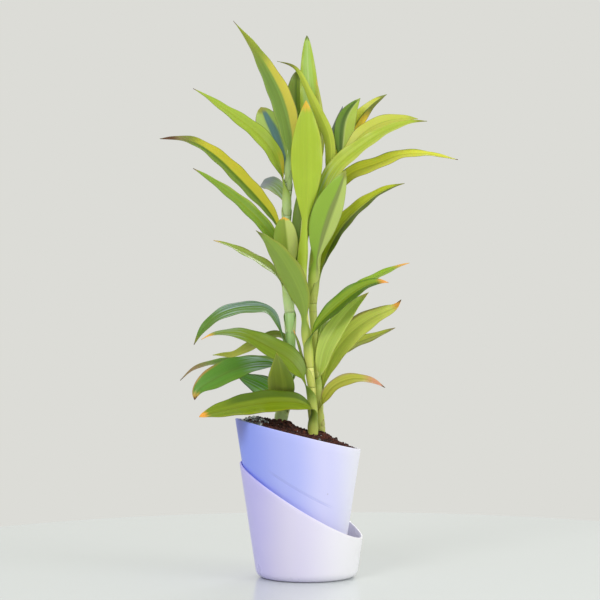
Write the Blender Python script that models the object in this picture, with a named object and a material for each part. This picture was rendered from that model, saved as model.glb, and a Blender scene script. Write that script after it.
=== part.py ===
"""Potted lucky bamboo: three leafy canes in soil, in a two-piece self-watering pot.

Sizes here are millimetres, turned into metres as each mesh is made. The origin is the middle of the outer
pot's base, +Z is up, and the front is -Y.
"""

import math

import bmesh
import bpy
from mathutils import Vector

MM = 0.001
CLEARANCE = 0.3  # between pieces that touch in the real thing

# Both pots are thin cones cut by a slanted rim plane.
POT_SIDES = 64
POT_WALL = 1.8
FILLET_STEPS = 4
LIP_STEPS = 4

OUTER_AXIS_X = 0.0
OUTER_RADIUS = 43.8  # of the cone at Z = 0
OUTER_FLARE = 0.152  # growth of the radius with height
OUTER_RIM_HEIGHT = 65.0  # of the rim plane at X = Y = 0
OUTER_RIM_SLOPE = (-0.594, 0.105)
OUTER_FOOT_FILLET = 8.0
OUTER_FLOOR = 2.4

INNER_AXIS_X = -5.6
INNER_RADIUS = 35.6
INNER_FLARE = 0.156
INNER_RIM_HEIGHT = 123.3
INNER_RIM_SLOPE = (-0.2436, -0.024)
INNER_FOOT_FILLET = 4.0
INNER_UNDERSIDE = 12.0
INNER_FLOOR = 2.0
FOOT_COUNT = 3
FOOT_RADIUS = 5.0
FOOT_CIRCLE = 24.0
FIRST_FOOT = math.radians(90)
DRAIN_COUNT = 6
DRAIN_RADIUS = 2.5
DRAIN_CIRCLE = 14.0
DRAIN_SIDES = 12
FIRST_DRAIN = math.radians(30)

SOIL_SIDES = 48
SOIL_RINGS = (0.93, 0.82, 0.7, 0.58, 0.46, 0.34, 0.22, 0.1)
SOIL_BELOW_RIM = 2.5
SOIL_HEAP = 3.0
SOIL_MOUNDS = ((-17, 4, 13, 8.0), (13, 2, 12, 6.5), (-46, 5, 14, 8.0))  # x, y, reach and height
SOIL_LUMP = 1.2
SOIL_LUMP_LENGTH = 16.0
SOIL_LUMP_WAVES = ((3.1, 0.6), (2.7, -0.8))  # waves and phase, across and along
HOLE_TOP = 165.0  # above the soil everywhere

CANE_SIDES = 12
CANE_STEP = 12.0
CANE_FINE_STEP = 3.0

BLADE_THICKNESS = 0.8
BLADE_STEP = 11.0
BLADE_COLUMNS = 4
TIP_WIDTH = 1.3
CLASP_GAP = 0.7  # between a cane and the blade base around it
CLASP_ARC = math.radians(100)
CLASP_LENGTH = 7.0
CLASP_EASE = 0.3  # share of the leaf over which it turns from its cane to its own roll
NECK_EASE = 0.1  # least share over which the base narrows to the neck
FOLD_EASE = 0.2  # least share over which the base opens to the blade's fold
SHARP_EDGE = math.radians(40)

FRONT = Vector((0, -1, 0))


# Materials
def make_material(name, colour, roughness):
    material = bpy.data.materials.new(name)
    material.use_nodes = True
    shader = material.node_tree.nodes["Principled BSDF"]
    shader.inputs["Base Color"].default_value = (*colour, 1)
    shader.inputs["Roughness"].default_value = roughness
    return material


# Meshes
def add_piece(name, points, faces, material, origin=Vector(), parent=None):
    """Makes one object from points in millimetres, with its own origin, under an unturned parent."""
    origin = Vector(origin)
    mesh = bpy.data.meshes.new(name)
    mesh.from_pydata([(Vector(point) - origin) * MM for point in points], [], faces)
    edit = bmesh.new()
    edit.from_mesh(mesh)
    bmesh.ops.recalc_face_normals(edit, faces=edit.faces)
    edit.to_mesh(mesh)
    edit.free()
    mesh.shade_smooth()
    mesh.set_sharp_from_angle(angle=SHARP_EDGE)
    mesh.materials.append(material)
    piece = bpy.data.objects.new(name, mesh)
    bpy.context.scene.collection.objects.link(piece)
    piece.parent = parent
    piece.location = origin * MM - (parent.location if parent else Vector())
    return piece


def loft(rings):
    """Joins rings of equal length into one closed skin, with a flat cap at each end."""
    count = len(rings[0])
    points = [point for ring in rings for point in ring]
    faces = [tuple(range(count))[::-1]]
    for ring in range(len(rings) - 1):
        for here in range(count):
            after = (here + 1) % count
            low, high = ring * count, (ring + 1) * count
            faces.append((low + here, low + after, high + after, high + here))
    last = (len(rings) - 1) * count
    faces.append(tuple(range(last, last + count)))
    return points, faces


def cut(piece, cutter, operation="DIFFERENCE"):
    """Applies a Boolean of the cutter to the piece, and removes the cutter."""
    boolean = piece.modifiers.new("cut", "BOOLEAN")
    boolean.operation = operation
    boolean.object = cutter
    bpy.context.view_layer.update()
    graph = bpy.context.evaluated_depsgraph_get()
    result = bpy.data.meshes.new_from_object(piece.evaluated_get(graph))
    piece.modifiers.remove(boolean)
    piece.data = result
    bpy.data.objects.remove(cutter)


def round_bar(name, middle, radius, bottom, top, material, sides=24):
    """An upright round bar, used for feet and as the cutter of a drain hole."""
    turns = [2 * math.pi * side / sides for side in range(sides)]
    rings = [[(middle[0] + radius * math.cos(turn), middle[1] + radius * math.sin(turn), z) for turn in turns]
             for z in (bottom, top)]
    return add_piece(name, *loft(rings), material)


# Pots
def rim_height(axis_x, radius, flare, height, slope, turn):
    """Height at which the cone's wall meets the slanted rim plane, in the direction of turn."""
    fall = slope[0] * math.cos(turn) + slope[1] * math.sin(turn)
    return (height + slope[0] * axis_x + radius * fall) / (1 - flare * fall)


def pot_outline(radius, flare, underside, floor, fillet, rim):
    """Section of a pot in one direction, as (distance from the axis, height) from the base's edge to the floor's."""
    lean = math.atan(flare)
    middle = radius + flare * (underside + fillet * (1 - math.sin(lean))) - fillet * math.cos(lean)
    outline = []
    for step in range(FILLET_STEPS + 1):
        turn = -math.pi / 2 + (math.pi / 2 - lean) * step / FILLET_STEPS
        outline.append((middle + fillet * math.cos(turn), underside + fillet + fillet * math.sin(turn)))
    lip = POT_WALL / 2
    lip_middle = radius + flare * (rim - lip) - lip
    for step in range(LIP_STEPS + 1):
        turn = math.pi * step / LIP_STEPS
        outline.append((lip_middle + lip * math.cos(turn), rim - lip + lip * math.sin(turn)))
    inside = radius - POT_WALL + flare * (underside + floor)
    corner = fillet / 2
    outline.append((inside + flare * corner, underside + floor + corner))
    outline.append((inside - corner * 0.3, underside + floor + corner * 0.3))
    outline.append((inside - corner, underside + floor))
    return outline


def make_pot(name, axis_x, radius, flare, height, slope, underside, floor, fillet, material, parent):
    columns = []
    for side in range(POT_SIDES):
        turn = 2 * math.pi * side / POT_SIDES
        rim = rim_height(axis_x, radius, flare, height, slope, turn)
        outline = pot_outline(radius, flare, underside, floor, fillet, rim)
        columns.append([(axis_x + r * math.cos(turn), r * math.sin(turn), z) for r, z in outline])
    rings = list(zip(*columns))
    return add_piece(name, *loft(rings), material, (axis_x, 0, underside), parent)


def make_outer_pot(parent):
    plastic = make_material("lilac white plastic", (0.80, 0.77, 0.88), 0.3)
    return make_pot(
        "outer_pot", OUTER_AXIS_X, OUTER_RADIUS, OUTER_FLARE, OUTER_RIM_HEIGHT, OUTER_RIM_SLOPE,
        0.0, OUTER_FLOOR, OUTER_FOOT_FILLET, plastic, parent,
    )


def make_inner_pot(parent):
    """The planting pot, on three feet in the reservoir. Water reaches the soil through its drain holes."""
    plastic = make_material("periwinkle plastic", (0.50, 0.53, 0.90), 0.3)
    pot = make_pot(
        "inner_pot", INNER_AXIS_X, INNER_RADIUS, INNER_FLARE, INNER_RIM_HEIGHT, INNER_RIM_SLOPE,
        INNER_UNDERSIDE, INNER_FLOOR, INNER_FOOT_FILLET, plastic, parent,
    )
    foot_top = INNER_UNDERSIDE + INNER_FLOOR / 2
    for foot in range(FOOT_COUNT):
        turn = FIRST_FOOT + 2 * math.pi * foot / FOOT_COUNT
        middle = (INNER_AXIS_X + FOOT_CIRCLE * math.cos(turn), FOOT_CIRCLE * math.sin(turn))
        bar = round_bar("foot", middle, FOOT_RADIUS, OUTER_FLOOR + CLEARANCE, foot_top, plastic)
        cut(pot, bar, "UNION")
    for hole in range(DRAIN_COUNT):
        turn = FIRST_DRAIN + 2 * math.pi * hole / DRAIN_COUNT
        middle = (INNER_AXIS_X + DRAIN_CIRCLE * math.cos(turn), DRAIN_CIRCLE * math.sin(turn))
        bottom, top = INNER_UNDERSIDE - 1, INNER_UNDERSIDE + INNER_FLOOR + 1
        cut(pot, round_bar("drain", middle, DRAIN_RADIUS, bottom, top, plastic, DRAIN_SIDES))
    return pot


# Canes
CANE_ROUTES = {  # x, y, z and radius, from the soil to the youngest leaves
    "cane_left": (
        (-28.4, 5, 100, 4.8), (-26.0, 5.4, 116, 4.8), (-23.6, 5.8, 132, 4.8), (-18.2, 7, 165, 4.7),
        (-13.9, 8, 198, 4.6), (-14.6, 8.6, 225, 4.5), (-16.0, 9, 251, 4.3), (-18.2, 9, 290, 3.9),
        (-17.8, 9, 325, 3.4), (-16.2, 8.4, 350, 3.0), (-15.2, 8, 376, 1.8),
    ),
    "cane_middle": (
        (5.8, -5, 94, 3.5), (5.6, -5.4, 112, 3.5), (5.4, -5.8, 130, 3.5), (5.2, -6, 154, 3.4),
        (3.6, -6, 177, 3.3), (1.1, -6, 198, 3.3), (-1.6, -6, 225, 3.2), (-4.2, -6, 251, 3.2),
        (-4.6, -6, 276, 3.0), (-2.8, -6, 300, 3.0), (0.0, -5.6, 330, 2.7), (3.0, -5, 366, 1.6),
    ),
    "cane_right": (
        (15.4, 5, 90, 3.0), (14.0, 4.6, 107, 3.0), (12.6, 4.2, 124, 3.0), (10.6, 4, 146, 3.0),
        (9.2, 4, 176, 3.0), (8.0, 4, 200, 3.1), (5.6, 4, 228, 3.4), (5.0, 4, 243, 3.7),
        (6.4, 4, 265, 4.1), (8.6, 4, 287, 4.1), (13.2, 4, 306, 3.6), (18.6, 4, 327, 3.1),
        (24.2, 4.3, 349, 2.5), (28.0, 5.3, 366, 1.3),
    ),
}


def spline_points(route, step):
    """Points along a smooth cubic B-spline that starts and ends at the route's ends, about one step apart."""
    knots = [Vector(point) for point in route]
    knots = [knots[0], knots[0]] + knots + [knots[-1], knots[-1]]
    fine = []
    for a, b, c, d in zip(knots, knots[1:], knots[2:], knots[3:]):
        for part in range(10):
            t = part / 10
            weights = ((1 - t) ** 3, 3 * t**3 - 6 * t**2 + 4, -3 * t**3 + 3 * t**2 + 3 * t + 1, t**3)
            fine.append(sum((k * w for k, w in zip((a, b, c, d), weights)), Vector([0] * len(a))) / 6)
    fine.append(knots[-1])
    lengths = [0.0]
    for before, after in zip(fine, fine[1:]):
        lengths.append(lengths[-1] + (after - before).length)
    count = max(8, round(lengths[-1] / step))
    points, place = [], 0
    for index in range(count + 1):
        wanted = lengths[-1] * index / count
        while place < len(fine) - 2 and lengths[place + 1] < wanted:
            place += 1
        span = lengths[place + 1] - lengths[place]
        points.append(fine[place].lerp(fine[place + 1], (wanted - lengths[place]) / span if span else 0))
    return points


def cane_at(name, height):
    """Middle and radius of a cane at a height."""
    points = spline_points(CANE_ROUTES[name], CANE_FINE_STEP)
    for low, high in zip(points, points[1:]):
        if low.z <= height <= high.z:
            here = low.lerp(high, (height - low.z) / (high.z - low.z))
            return Vector(here[:3]), here[3]
    raise ValueError(f"{name} has no height {height}")


def tube_rings(points, grow=0.0):
    rings = []
    for point in points:
        x, y, z, radius = point
        ring = []
        for side in range(CANE_SIDES):
            turn = 2 * math.pi * side / CANE_SIDES
            ring.append((x + (radius + grow) * math.cos(turn), y + (radius + grow) * math.sin(turn), z))
        rings.append(ring)
    return rings


def make_cane(name, parent, colour):
    points = spline_points(CANE_ROUTES[name], CANE_STEP)
    skin = make_material(name.replace("_", " ") + " skin", colour, 0.45)
    return add_piece(name, *loft(tube_rings(points)), skin, points[0][:3], parent)


# Soil
def soil_height(x, y, share):
    """Top of the soil: just under the inner rim at the edge, heaped and a little lumpy inside."""
    plane = INNER_RIM_HEIGHT + INNER_RIM_SLOPE[0] * x + INNER_RIM_SLOPE[1] * y
    heap = SOIL_HEAP + sum(
        height * math.exp(-((x - across) ** 2 + (y - along) ** 2) / reach**2)
        for across, along, reach, height in SOIL_MOUNDS
    )
    (waves_x, phase_x), (waves_y, phase_y) = SOIL_LUMP_WAVES
    lump = math.sin(x / SOIL_LUMP_LENGTH * waves_x + phase_x) * math.cos(y / SOIL_LUMP_LENGTH * waves_y + phase_y)
    return plane - SOIL_BELOW_RIM + heap * (1 - share**4) + SOIL_LUMP * lump * (1 - share)


def make_soil(parent):
    mix = make_material("potting mix", (0.035, 0.02, 0.016), 0.95)
    bottom = INNER_UNDERSIDE + INNER_FLOOR + CLEARANCE
    columns = []
    for side in range(SOIL_SIDES):
        turn = 2 * math.pi * side / SOIL_SIDES
        across, along = math.cos(turn), math.sin(turn)

        def wall(height):
            # The wall's flat facets lie a little inside its true circle.
            facet = (INNER_RADIUS + INNER_FLARE * height) * (1 - math.cos(math.pi / POT_SIDES))
            return INNER_RADIUS + INNER_FLARE * height - POT_WALL - CLEARANCE - facet

        edge = wall(bottom) - INNER_FOOT_FILLET / 2 - CLEARANCE
        column = [(edge, bottom)]
        foot = bottom + INNER_FOOT_FILLET / 2 + 1
        column.append((wall(foot), foot))
        brim = rim_height(
            INNER_AXIS_X, INNER_RADIUS, INNER_FLARE, INNER_RIM_HEIGHT, INNER_RIM_SLOPE, turn,
        ) - SOIL_BELOW_RIM
        column.append((wall(brim), brim))
        for share in SOIL_RINGS:
            r = wall(brim) * share
            column.append((r, soil_height(INNER_AXIS_X + r * across, r * along, share)))
        columns.append([(INNER_AXIS_X + r * across, r * along, z) for r, z in column])
    soil = add_piece("soil", *loft(list(zip(*columns))), mix, (INNER_AXIS_X, 0, bottom), parent)
    for name, route in CANE_ROUTES.items():
        deepest = Vector(route[0]) - Vector((0, 0, CLEARANCE, 0))
        points = [deepest] + [point for point in spline_points(route, CANE_STEP) if point.z < HOLE_TOP]
        cut(soil, add_piece("hole", *loft(tube_rings(points, CLEARANCE)), mix))
    return soil


# Leaves
def smooth_step(value):
    value = min(max(value, 0.0), 1.0)
    return value * value * (3 - 2 * value)


def blend(start, end, share):
    return start + (end - start) * share


class Leaf:
    """One leaf: where it clasps its cane, the route of its midrib, and its blade.

    height and side are the clasp's height and its direction round the cane, in degrees from +X towards the back.
    route holds the midrib's points beyond the clasp. width is the blade's greatest width, peak its place along the
    blade, and stalk the share of the leaf that is a narrow stalk. turn is the blade's roll after the clasp and at
    the tip: 0 shows its upper face to the front, 90 lies flat, 180 shows its underside. channel is the angle of
    its folded section, and a larger taper makes its ends more slender. A leaf with no route is an old sheath,
    which stays against the cane all the way.
    """

    def __init__(self, cane, height, side, route, width, turn=(45, 60), stalk=0.12, peak=0.42, channel=35,
                 taper=0.85, clasp_length=CLASP_LENGTH, neck=5.0):
        self.cane = cane
        self.height = height
        self.side = math.radians(side)
        self.route = route
        self.width = width
        self.turn = [math.radians(angle) for angle in turn]
        self.stalk = stalk
        self.peak = peak
        self.channel = math.radians(channel)
        self.taper = taper
        self.clasp_length = clasp_length
        self.neck = neck

    def clasp(self):
        """The midrib's first points, up the side of the cane, and the base's distance from the cane's middle."""
        out = Vector((math.cos(self.side), math.sin(self.side), 0))
        points, widest = [], 0.0
        for share in (0.0, 0.5, 1.0):
            middle, radius = cane_at(self.cane, self.height + self.clasp_length * share)
            reach = radius + CLASP_GAP + BLADE_THICKNESS / 2
            points.append(middle + out * reach)
            widest = max(reach, widest)
        return points, out, widest

    def blade_width(self, t, base):
        share = (t - self.stalk) / (1 - self.stalk)
        body = 0.0
        if 0 < share < 1:
            bend = math.log(0.5) / math.log(self.peak)
            body = self.width * math.sin(math.pi * share**bend) ** self.taper
        narrow = blend(base, self.neck, smooth_step(t / max(self.stalk, NECK_EASE))) * (1 - max(share, 0))
        return max(math.hypot(body, narrow), TIP_WIDTH)

    def sections(self):
        """For each station along the midrib: its middle, its cross direction, its upper normal, width and fold."""
        clasp, out, reach = self.clasp()
        points = spline_points(clasp + [Vector(point) for point in self.route], BLADE_STEP)
        hand = 1 if points[-1].x < points[0].x else -1
        base = reach * CLASP_ARC
        sections = []
        for index, point in enumerate(points):
            t = index / (len(points) - 1)
            ahead = points[min(index + 1, len(points) - 1)]
            along = (ahead - points[max(index - 1, 0)]).normalized()
            face = (FRONT - along * FRONT.dot(along)).normalized()
            roll = blend(self.turn[0], self.turn[1], t)
            wanted = face * math.cos(roll) + along.cross(face) * hand * math.sin(roll)
            normal = (-out).lerp(wanted, smooth_step(t / CLASP_EASE) if self.route else 0)
            normal = (normal - along * normal.dot(along)).normalized()
            fold = blend(CLASP_ARC, self.channel, smooth_step(t / max(self.stalk, FOLD_EASE)))
            sections.append((point, along.cross(normal), normal, self.blade_width(t, base), fold))
        return sections


def blade_mesh(leaf):
    """Points and triangles of a leaf, with the same diagonals on both of its faces."""
    upper, lower = [], []
    sections = leaf.sections()
    columns = BLADE_COLUMNS + 1
    for middle, across, normal, width, fold in sections:
        radius = width / fold
        for column in range(columns):
            angle = (column / BLADE_COLUMNS - 0.5) * fold
            place = middle + across * radius * math.sin(angle) + normal * radius * (1 - math.cos(angle))
            skyward = normal * math.cos(angle) - across * math.sin(angle)
            upper.append(place + skyward * BLADE_THICKNESS / 2)
            lower.append(place - skyward * BLADE_THICKNESS / 2)
    below = len(upper)
    faces = []

    def quad(a, b, c, d):
        faces.extend(((a, b, c), (a, c, d)))

    for row in range(len(sections) - 1):
        for column in range(BLADE_COLUMNS):
            here = row * columns + column
            after = here + columns
            quad(here, here + 1, after + 1, after)
            faces.append((below + here, below + after + 1, below + here + 1))
            faces.append((below + here, below + after, below + after + 1))
        left, right = row * columns, row * columns + BLADE_COLUMNS
        quad(left, left + columns, below + left + columns, below + left)
        quad(right, below + right, below + right + columns, right + columns)
    last = (len(sections) - 1) * columns
    for column in range(BLADE_COLUMNS):
        quad(column, below + column, below + column + 1, column + 1)
        quad(last + column, last + column + 1, below + last + column + 1, below + last + column)
    return upper + lower, faces


def make_leaves(leaves, canes, material):
    for name, leaf in leaves.items():
        points, faces = blade_mesh(leaf)
        add_piece(name, points, faces, material, leaf.clasp()[0][0], canes[leaf.cane])


LEFT_LEAVES = {
    "leaf_left_01": Leaf("cane_left", 141, 255,
        [(-22, -4, 157), (-22.5, -15, 168), (-24, -28, 181), (-26, -37, 197)],
        24, (175, 165), 0.08, 0.4, 40, 1.0),
    "leaf_left_02": Leaf("cane_left", 146, 155,
        [(-28, 11.5, 158), (-37, 13, 164.5), (-49, 15, 170.5), (-62, 16, 176)],
        24, (32, 45), 0.1),
    "leaf_left_03": Leaf("cane_left", 160, 60,
        [(-16, 19, 172), (-20, 31, 183), (-26, 47, 192), (-33, 62, 193)],
        20, (10, 30), 0.12),
    "leaf_left_04": Leaf("cane_left", 168, 195,
        [(-26, 6, 184.5), (-33, 5, 186.5), (-46, 3, 186), (-59, 0, 183.5), (-73, -4, 177.5), (-84, -7, 171.5),
         (-91.5, -9, 167), (-96.5, -11, 162), (-98, -12, 155)],
        26, (42, 35), 0.12, 0.58, 35, 0.8),
    "leaf_left_05": Leaf("cane_left", 178, 120,
        [(-24, 20, 190), (-38, 26, 191), (-54, 31, 189.5), (-72, 34, 188), (-87, 35, 186.5), (-98, 35, 183.5),
         (-106, 35, 179), (-114, 35, 171)],
        11, (60, 60), 0.1, 0.45),
    "leaf_left_06": Leaf("cane_left", 190, 212,
        [(-20.5, 4.5, 209), (-25.5, 4, 222), (-30, 4, 231), (-37, 3.5, 235.5), (-47, 3, 236), (-60, 2, 235),
         (-73, 1, 231.5), (-84, 0, 224.5), (-93, -1, 215), (-99.5, -1, 203)],
        16, (50, 45), 0.2, 0.5),
    "leaf_left_07": Leaf("cane_left", 196, 98,
        [(-19, 17, 210), (-26, 21, 213), (-34, 22, 210.5), (-46, 23, 203.5), (-55, 24, 199), (-66, 25, 193),
         (-75, 25, 194.5), (-84, 25, 194)],
        12, (50, 45), 0.12, 0.45),
    "leaf_left_08": Leaf("cane_left", 228, 80,
        [(-13.5, 18, 243), (-11, 30, 262), (-8, 44, 279), (-5, 58, 290)],
        20, (5, 10), 0.12),
    "leaf_left_09": Leaf("cane_left", 246, 180,
        [(-23, 9, 262), (-31, 10, 270.5), (-43, 11, 278.5), (-56, 12, 285), (-69, 12, 292), (-82.5, 12, 296)],
        14, (58, 62), 0.1),
    "leaf_left_10": Leaf("cane_left", 253, 280,
        [(-16.5, -1, 271), (-17.8, -5, 286), (-19.3, -8, 300), (-20, -9, 315)],
        22, (172, 170), 0.14, 0.62, 40, 0.55),
    "leaf_left_11": Leaf("cane_left", 270, 212,
        [(-24.5, 6, 287), (-29.5, 6, 298), (-38, 5, 309), (-50, 2, 321.5), (-63, -1, 332.5), (-78, -4, 343.5),
         (-90.5, -7, 352.5), (-99.5, -8, 358)],
        15.5, (38, 45), 0.1, 0.38),
    "leaf_left_12": Leaf("cane_left", 290, 150,
        [(-25.5, 13, 308), (-34, 15, 323), (-48, 16, 337.5), (-63, 17, 353.5), (-81, 17, 371), (-97, 17, 382.5),
         (-111, 17, 387), (-131, 17, 387)],
        22, (42, 52), 0.1, 0.42, 70),
    "leaf_left_13": Leaf("cane_left", 322, 112,
        [(-20.5, 17, 336), (-27, 30, 345), (-35, 47, 350.5), (-41, 63, 351.5)],
        16, (15, 25), 0.12, 0.55, 35, 0.5),
    "leaf_left_14": Leaf("cane_left", 332, 222,
        [(-21, 3, 348), (-24, 0, 360), (-29, -2, 373), (-40, -5, 386.5), (-54, -7, 397.5), (-72, -9, 409.5),
         (-89, -10, 422), (-99.5, -10, 428)],
        17.5, (28, 45), 0.1, 0.38, 35, 1.0),
    "leaf_left_15": Leaf("cane_left", 344, 100,
        [(-18.5, 16, 361), (-24.5, 21, 379), (-33.5, 27, 399), (-41, 31, 417)],
        28, (10, 20), 0.12, 0.62, 35, 0.65),
    "leaf_left_16": Leaf("cane_left", 354, 30,
        [(-10.5, 14, 373), (-9.5, 17, 392), (-9.5, 19, 412), (-9.7, 22, 430), (-9.5, 24, 448)],
        21, (165, 165), 0.12, 0.55, 35, 0.65),
    "leaf_left_17": Leaf("cane_left", 361, 285,
        [(-14, 1, 380), (-17.5, -2, 398), (-23, -4, 420), (-35.5, -7, 444.5), (-47.5, -9, 466), (-56, -10, 477),
         (-64, -11, 487)],
        24, (150, 140), 0.1, 0.32, 50, 1.2),
}

MIDDLE_LEAVES = {
    "leaf_middle_01": Leaf("cane_middle", 130, 280,
        [(7, -13, 144), (2, -17, 150), (-7, -20, 153.5), (-19, -23, 154.5), (-34, -28, 153.5), (-49, -32, 151.5),
         (-65, -37, 148.5), (-79, -41, 145.5), (-92, -44, 142)],
        26, (38, 48), 0.14, 0.48, 35, 0.62),
    "leaf_middle_02": Leaf("cane_middle", 150, 235,
        [(-0.5, -13.5, 166), (-4.5, -15, 178), (-11.5, -17, 188), (-22, -18, 195.5), (-34, -20, 202),
         (-45.5, -24, 208), (-56, -27, 212.5), (-67, -29, 213.5), (-77, -30, 213.5), (-85, -31, 211.5),
         (-91, -32, 208)],
        25, (35, 50), 0.2, 0.26, 35, 1.1),
    "leaf_middle_03": Leaf("cane_middle", 180, 172,
        [(-5.4, -4.5, 195), (-7.6, -4, 205), (-11, -3.5, 216)],
        6, (110, 110), 0.1),
    "leaf_middle_04": Leaf("cane_middle", 198, 305,
        [(5.5, -12.5, 215), (12, -14.5, 224.5), (23.5, -16.5, 235), (38, -18, 247.5), (51, -19, 255.5),
         (62.5, -20, 258.5), (71, -20, 257.5)],
        19, (42, 50), 0.14, 0.5),
    "leaf_middle_05": Leaf("cane_middle", 211, 250,
        [(-2.4, -13, 232), (-6.6, -16, 248), (-14.6, -18, 264.5), (-23, -20, 279), (-31.5, -21, 290.5),
         (-37.5, -21, 297), (-44, -20.5, 302.5)],
        26, (150, 140), 0.14, 0.45, 35, 1.05),
    "leaf_middle_06": Leaf("cane_middle", 252, 140,
        [(-8.8, 4.5, 273), (-8.8, 5, 294), (-8.5, 5, 316), (-7.5, 6, 339)],
        11, (160, 160), 0.15, 0.5, 40),
    "leaf_middle_07": Leaf("cane_middle", 262, 270,
        [(-3, -12, 286), (-2, -13, 304), (-1, -14.5, 326), (0, -16, 347), (0, -17.5, 367), (0, -18.5, 390),
         (-0.6, -19, 416)],
        28, (178, 178), 0.31, 0.53, 30, 0.85),
    "leaf_middle_08": Leaf("cane_middle", 292, 58,
        [(3.8, 4.6, 309), (5.3, 16, 327), (6.3, 32, 344), (8.3, 48, 354)],
        17, (5, 5), 0.16),
    "leaf_middle_09": Leaf("cane_middle", 340, 8,
        [(10, 0, 364), (12.3, 3, 388), (11.3, 5, 412), (8.5, 6, 439)],
        9, (165, 165), 0.12),
    "leaf_middle_10": Leaf("cane_middle", 345, 105,
        [(3.5, 4, 366), (3.6, 9, 392), (3, 13, 420), (1, 16, 448), (0.3, 17, 479)],
        18, (175, 178), 0.12, 0.44, 40, 0.58),
}

RIGHT_LEAVES = {
    "leaf_right_01": Leaf("cane_right", 139, 300,
        [(14.5, -3.5, 155), (22, -6, 166.5), (33, -7, 172), (43, -7, 174), (52, -8, 173), (60, -9, 171),
         (68.5, -10, 166)],
        15, (45, 55), 0.12, 0.4),
    "leaf_right_02": Leaf("cane_right", 152, 20,
        [(15, 5.5, 170), (19, 5.5, 184.5), (27.5, 5, 200), (39, 4, 213), (50, 3.5, 222), (62, 3, 229),
         (72, 2, 233), (79, 2, 236.5), (83, 2, 243)],
        24, (30, 40), 0.1, 0.5),
    "leaf_right_03": Leaf("cane_right", 162, 285,
        [(12, -6, 178), (14.5, -9, 196), (21, -10, 211), (30.5, -10, 225), (41.5, -9, 238), (54, -10, 249)],
        19, (22, 32), 0.14, 0.45),
    "leaf_right_04": Leaf("cane_right", 173, 105,
        [(12.5, 15, 182), (21, 21, 190.5), (37, 25, 201), (51, 27, 207), (64, 29, 211.5), (79.5, 30, 218.5)],
        14, (52, 55), 0.12, 0.5),
    "leaf_right_05": Leaf("cane_right", 188, 100,
        [(9, 14, 202), (14, 28, 217), (20, 44, 227), (27, 60, 229)],
        19, (8, 15), 0.12),
    "leaf_right_06": Leaf("cane_right", 204, 40,
        [(12.5, 11, 222), (25, 16, 239), (44, 20, 253.5), (64, 23, 265), (76, 24, 270.5), (85, 24, 274.5),
         (92, 24, 276.5)],
        14, (55, 60), 0.12, 0.5),
    "leaf_right_07": Leaf("cane_right", 254, 10,
        [(14, 5, 272), (17.5, 5, 287), (25.5, 4, 302), (36, 3, 315.5), (49, 2, 327), (61, 1, 336), (73, 0, 342),
         (86, -1, 345.5)],
        20, (42, 55), 0.12, 0.4),
    "leaf_right_08": Leaf("cane_right", 262, 282,
        [(8.5, -6, 281), (11, -11, 296), (15, -14.5, 311), (20.5, -17, 326), (27, -18.5, 340),
         (34, -19, 355)],
        26, (170, 170), 0.16, 0.5, 30),
    "leaf_right_09": Leaf("cane_right", 290, 110,
        [(10, 17, 306), (14, 31, 321), (19, 46, 333), (25, 60, 338)],
        19, (8, 12), 0.12),
    "leaf_right_10": Leaf("cane_right", 270, 235,
        [(5.6, -1, 288), (9, -3, 306), (12, -5, 324), (15.5, -7, 342), (26, -10, 360), (39.5, -12.5, 371),
         (54, -14.5, 381.5), (68.5, -15.5, 390), (83, -16, 396), (95, -16, 398.5), (105, -16, 398.5)],
        18, (22, 48), 0.3, 0.34),
    "leaf_right_11": Leaf("cane_right", 320, 5,
        [(26.5, 4.5, 339), (33, 4, 350), (43, 3, 356.5), (56, 2, 360.5), (69, 1, 365), (80, 0, 370.5),
         (93, -1, 371.5), (105, -2, 371.5), (117, -3, 369.5), (126, -4, 367.5), (133, -5, 366)],
        17, (32, 55), 0.1, 0.3),
    "leaf_right_12": Leaf("cane_right", 330, 232,
        [(19, -0.5, 350), (21, -1.5, 367), (20.5, -2.5, 384), (15.5, -3, 396.5), (10, -3, 408),
         (4.5, -3, 420), (-1.5, -2, 433), (-5, -2, 441), (-10, -2, 448), (-17, -2, 451), (-26, -2, 453)],
        9.5, (165, 150), 0.1, 0.35),
    "leaf_right_13": Leaf("cane_right", 338, 318,
        [(29, -5.4, 356), (36, -5.0, 373), (45.5, -4.0, 387), (58.5, -2.5, 396.5), (73, -3, 401.5),
         (86.5, -4, 402.5), (98, -4, 402)],
        15, (25, 40), 0.14, 0.55),
    "leaf_right_14": Leaf("cane_right", 342, 125,
        [(21, 14, 361), (24, 22, 380), (27.5, 28, 398), (32.5, 33, 418)],
        12, (8, 8), 0.12),
    "leaf_right_15": Leaf("cane_right", 351, 95,
        [(29, 15, 367), (34.5, 17.5, 382), (42.5, 19, 397), (50, 20, 408.5), (59.5, 20, 419), (71.5, 20, 427)],
        17, (20, 35), 0.1, 0.46, 60),
    "leaf_right_16": Leaf("cane_right", 354, 297,
        [(31.4, -0.4, 372), (33, 2.6, 386), (34.3, 7, 399), (38.5, 9, 411), (47.5, 9.5, 422)],
        19, (10, 20), 0.16, 0.5, 45),
}

# What is left of old leaves, pressed against the canes.
SHEATHS = {
    "sheath_left": Leaf("cane_left", 141, 0, [], 6, channel=90, clasp_length=15),
    "sheath_right": Leaf("cane_right", 130.5, 320, [], 5, channel=90, clasp_length=7),
}


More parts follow.
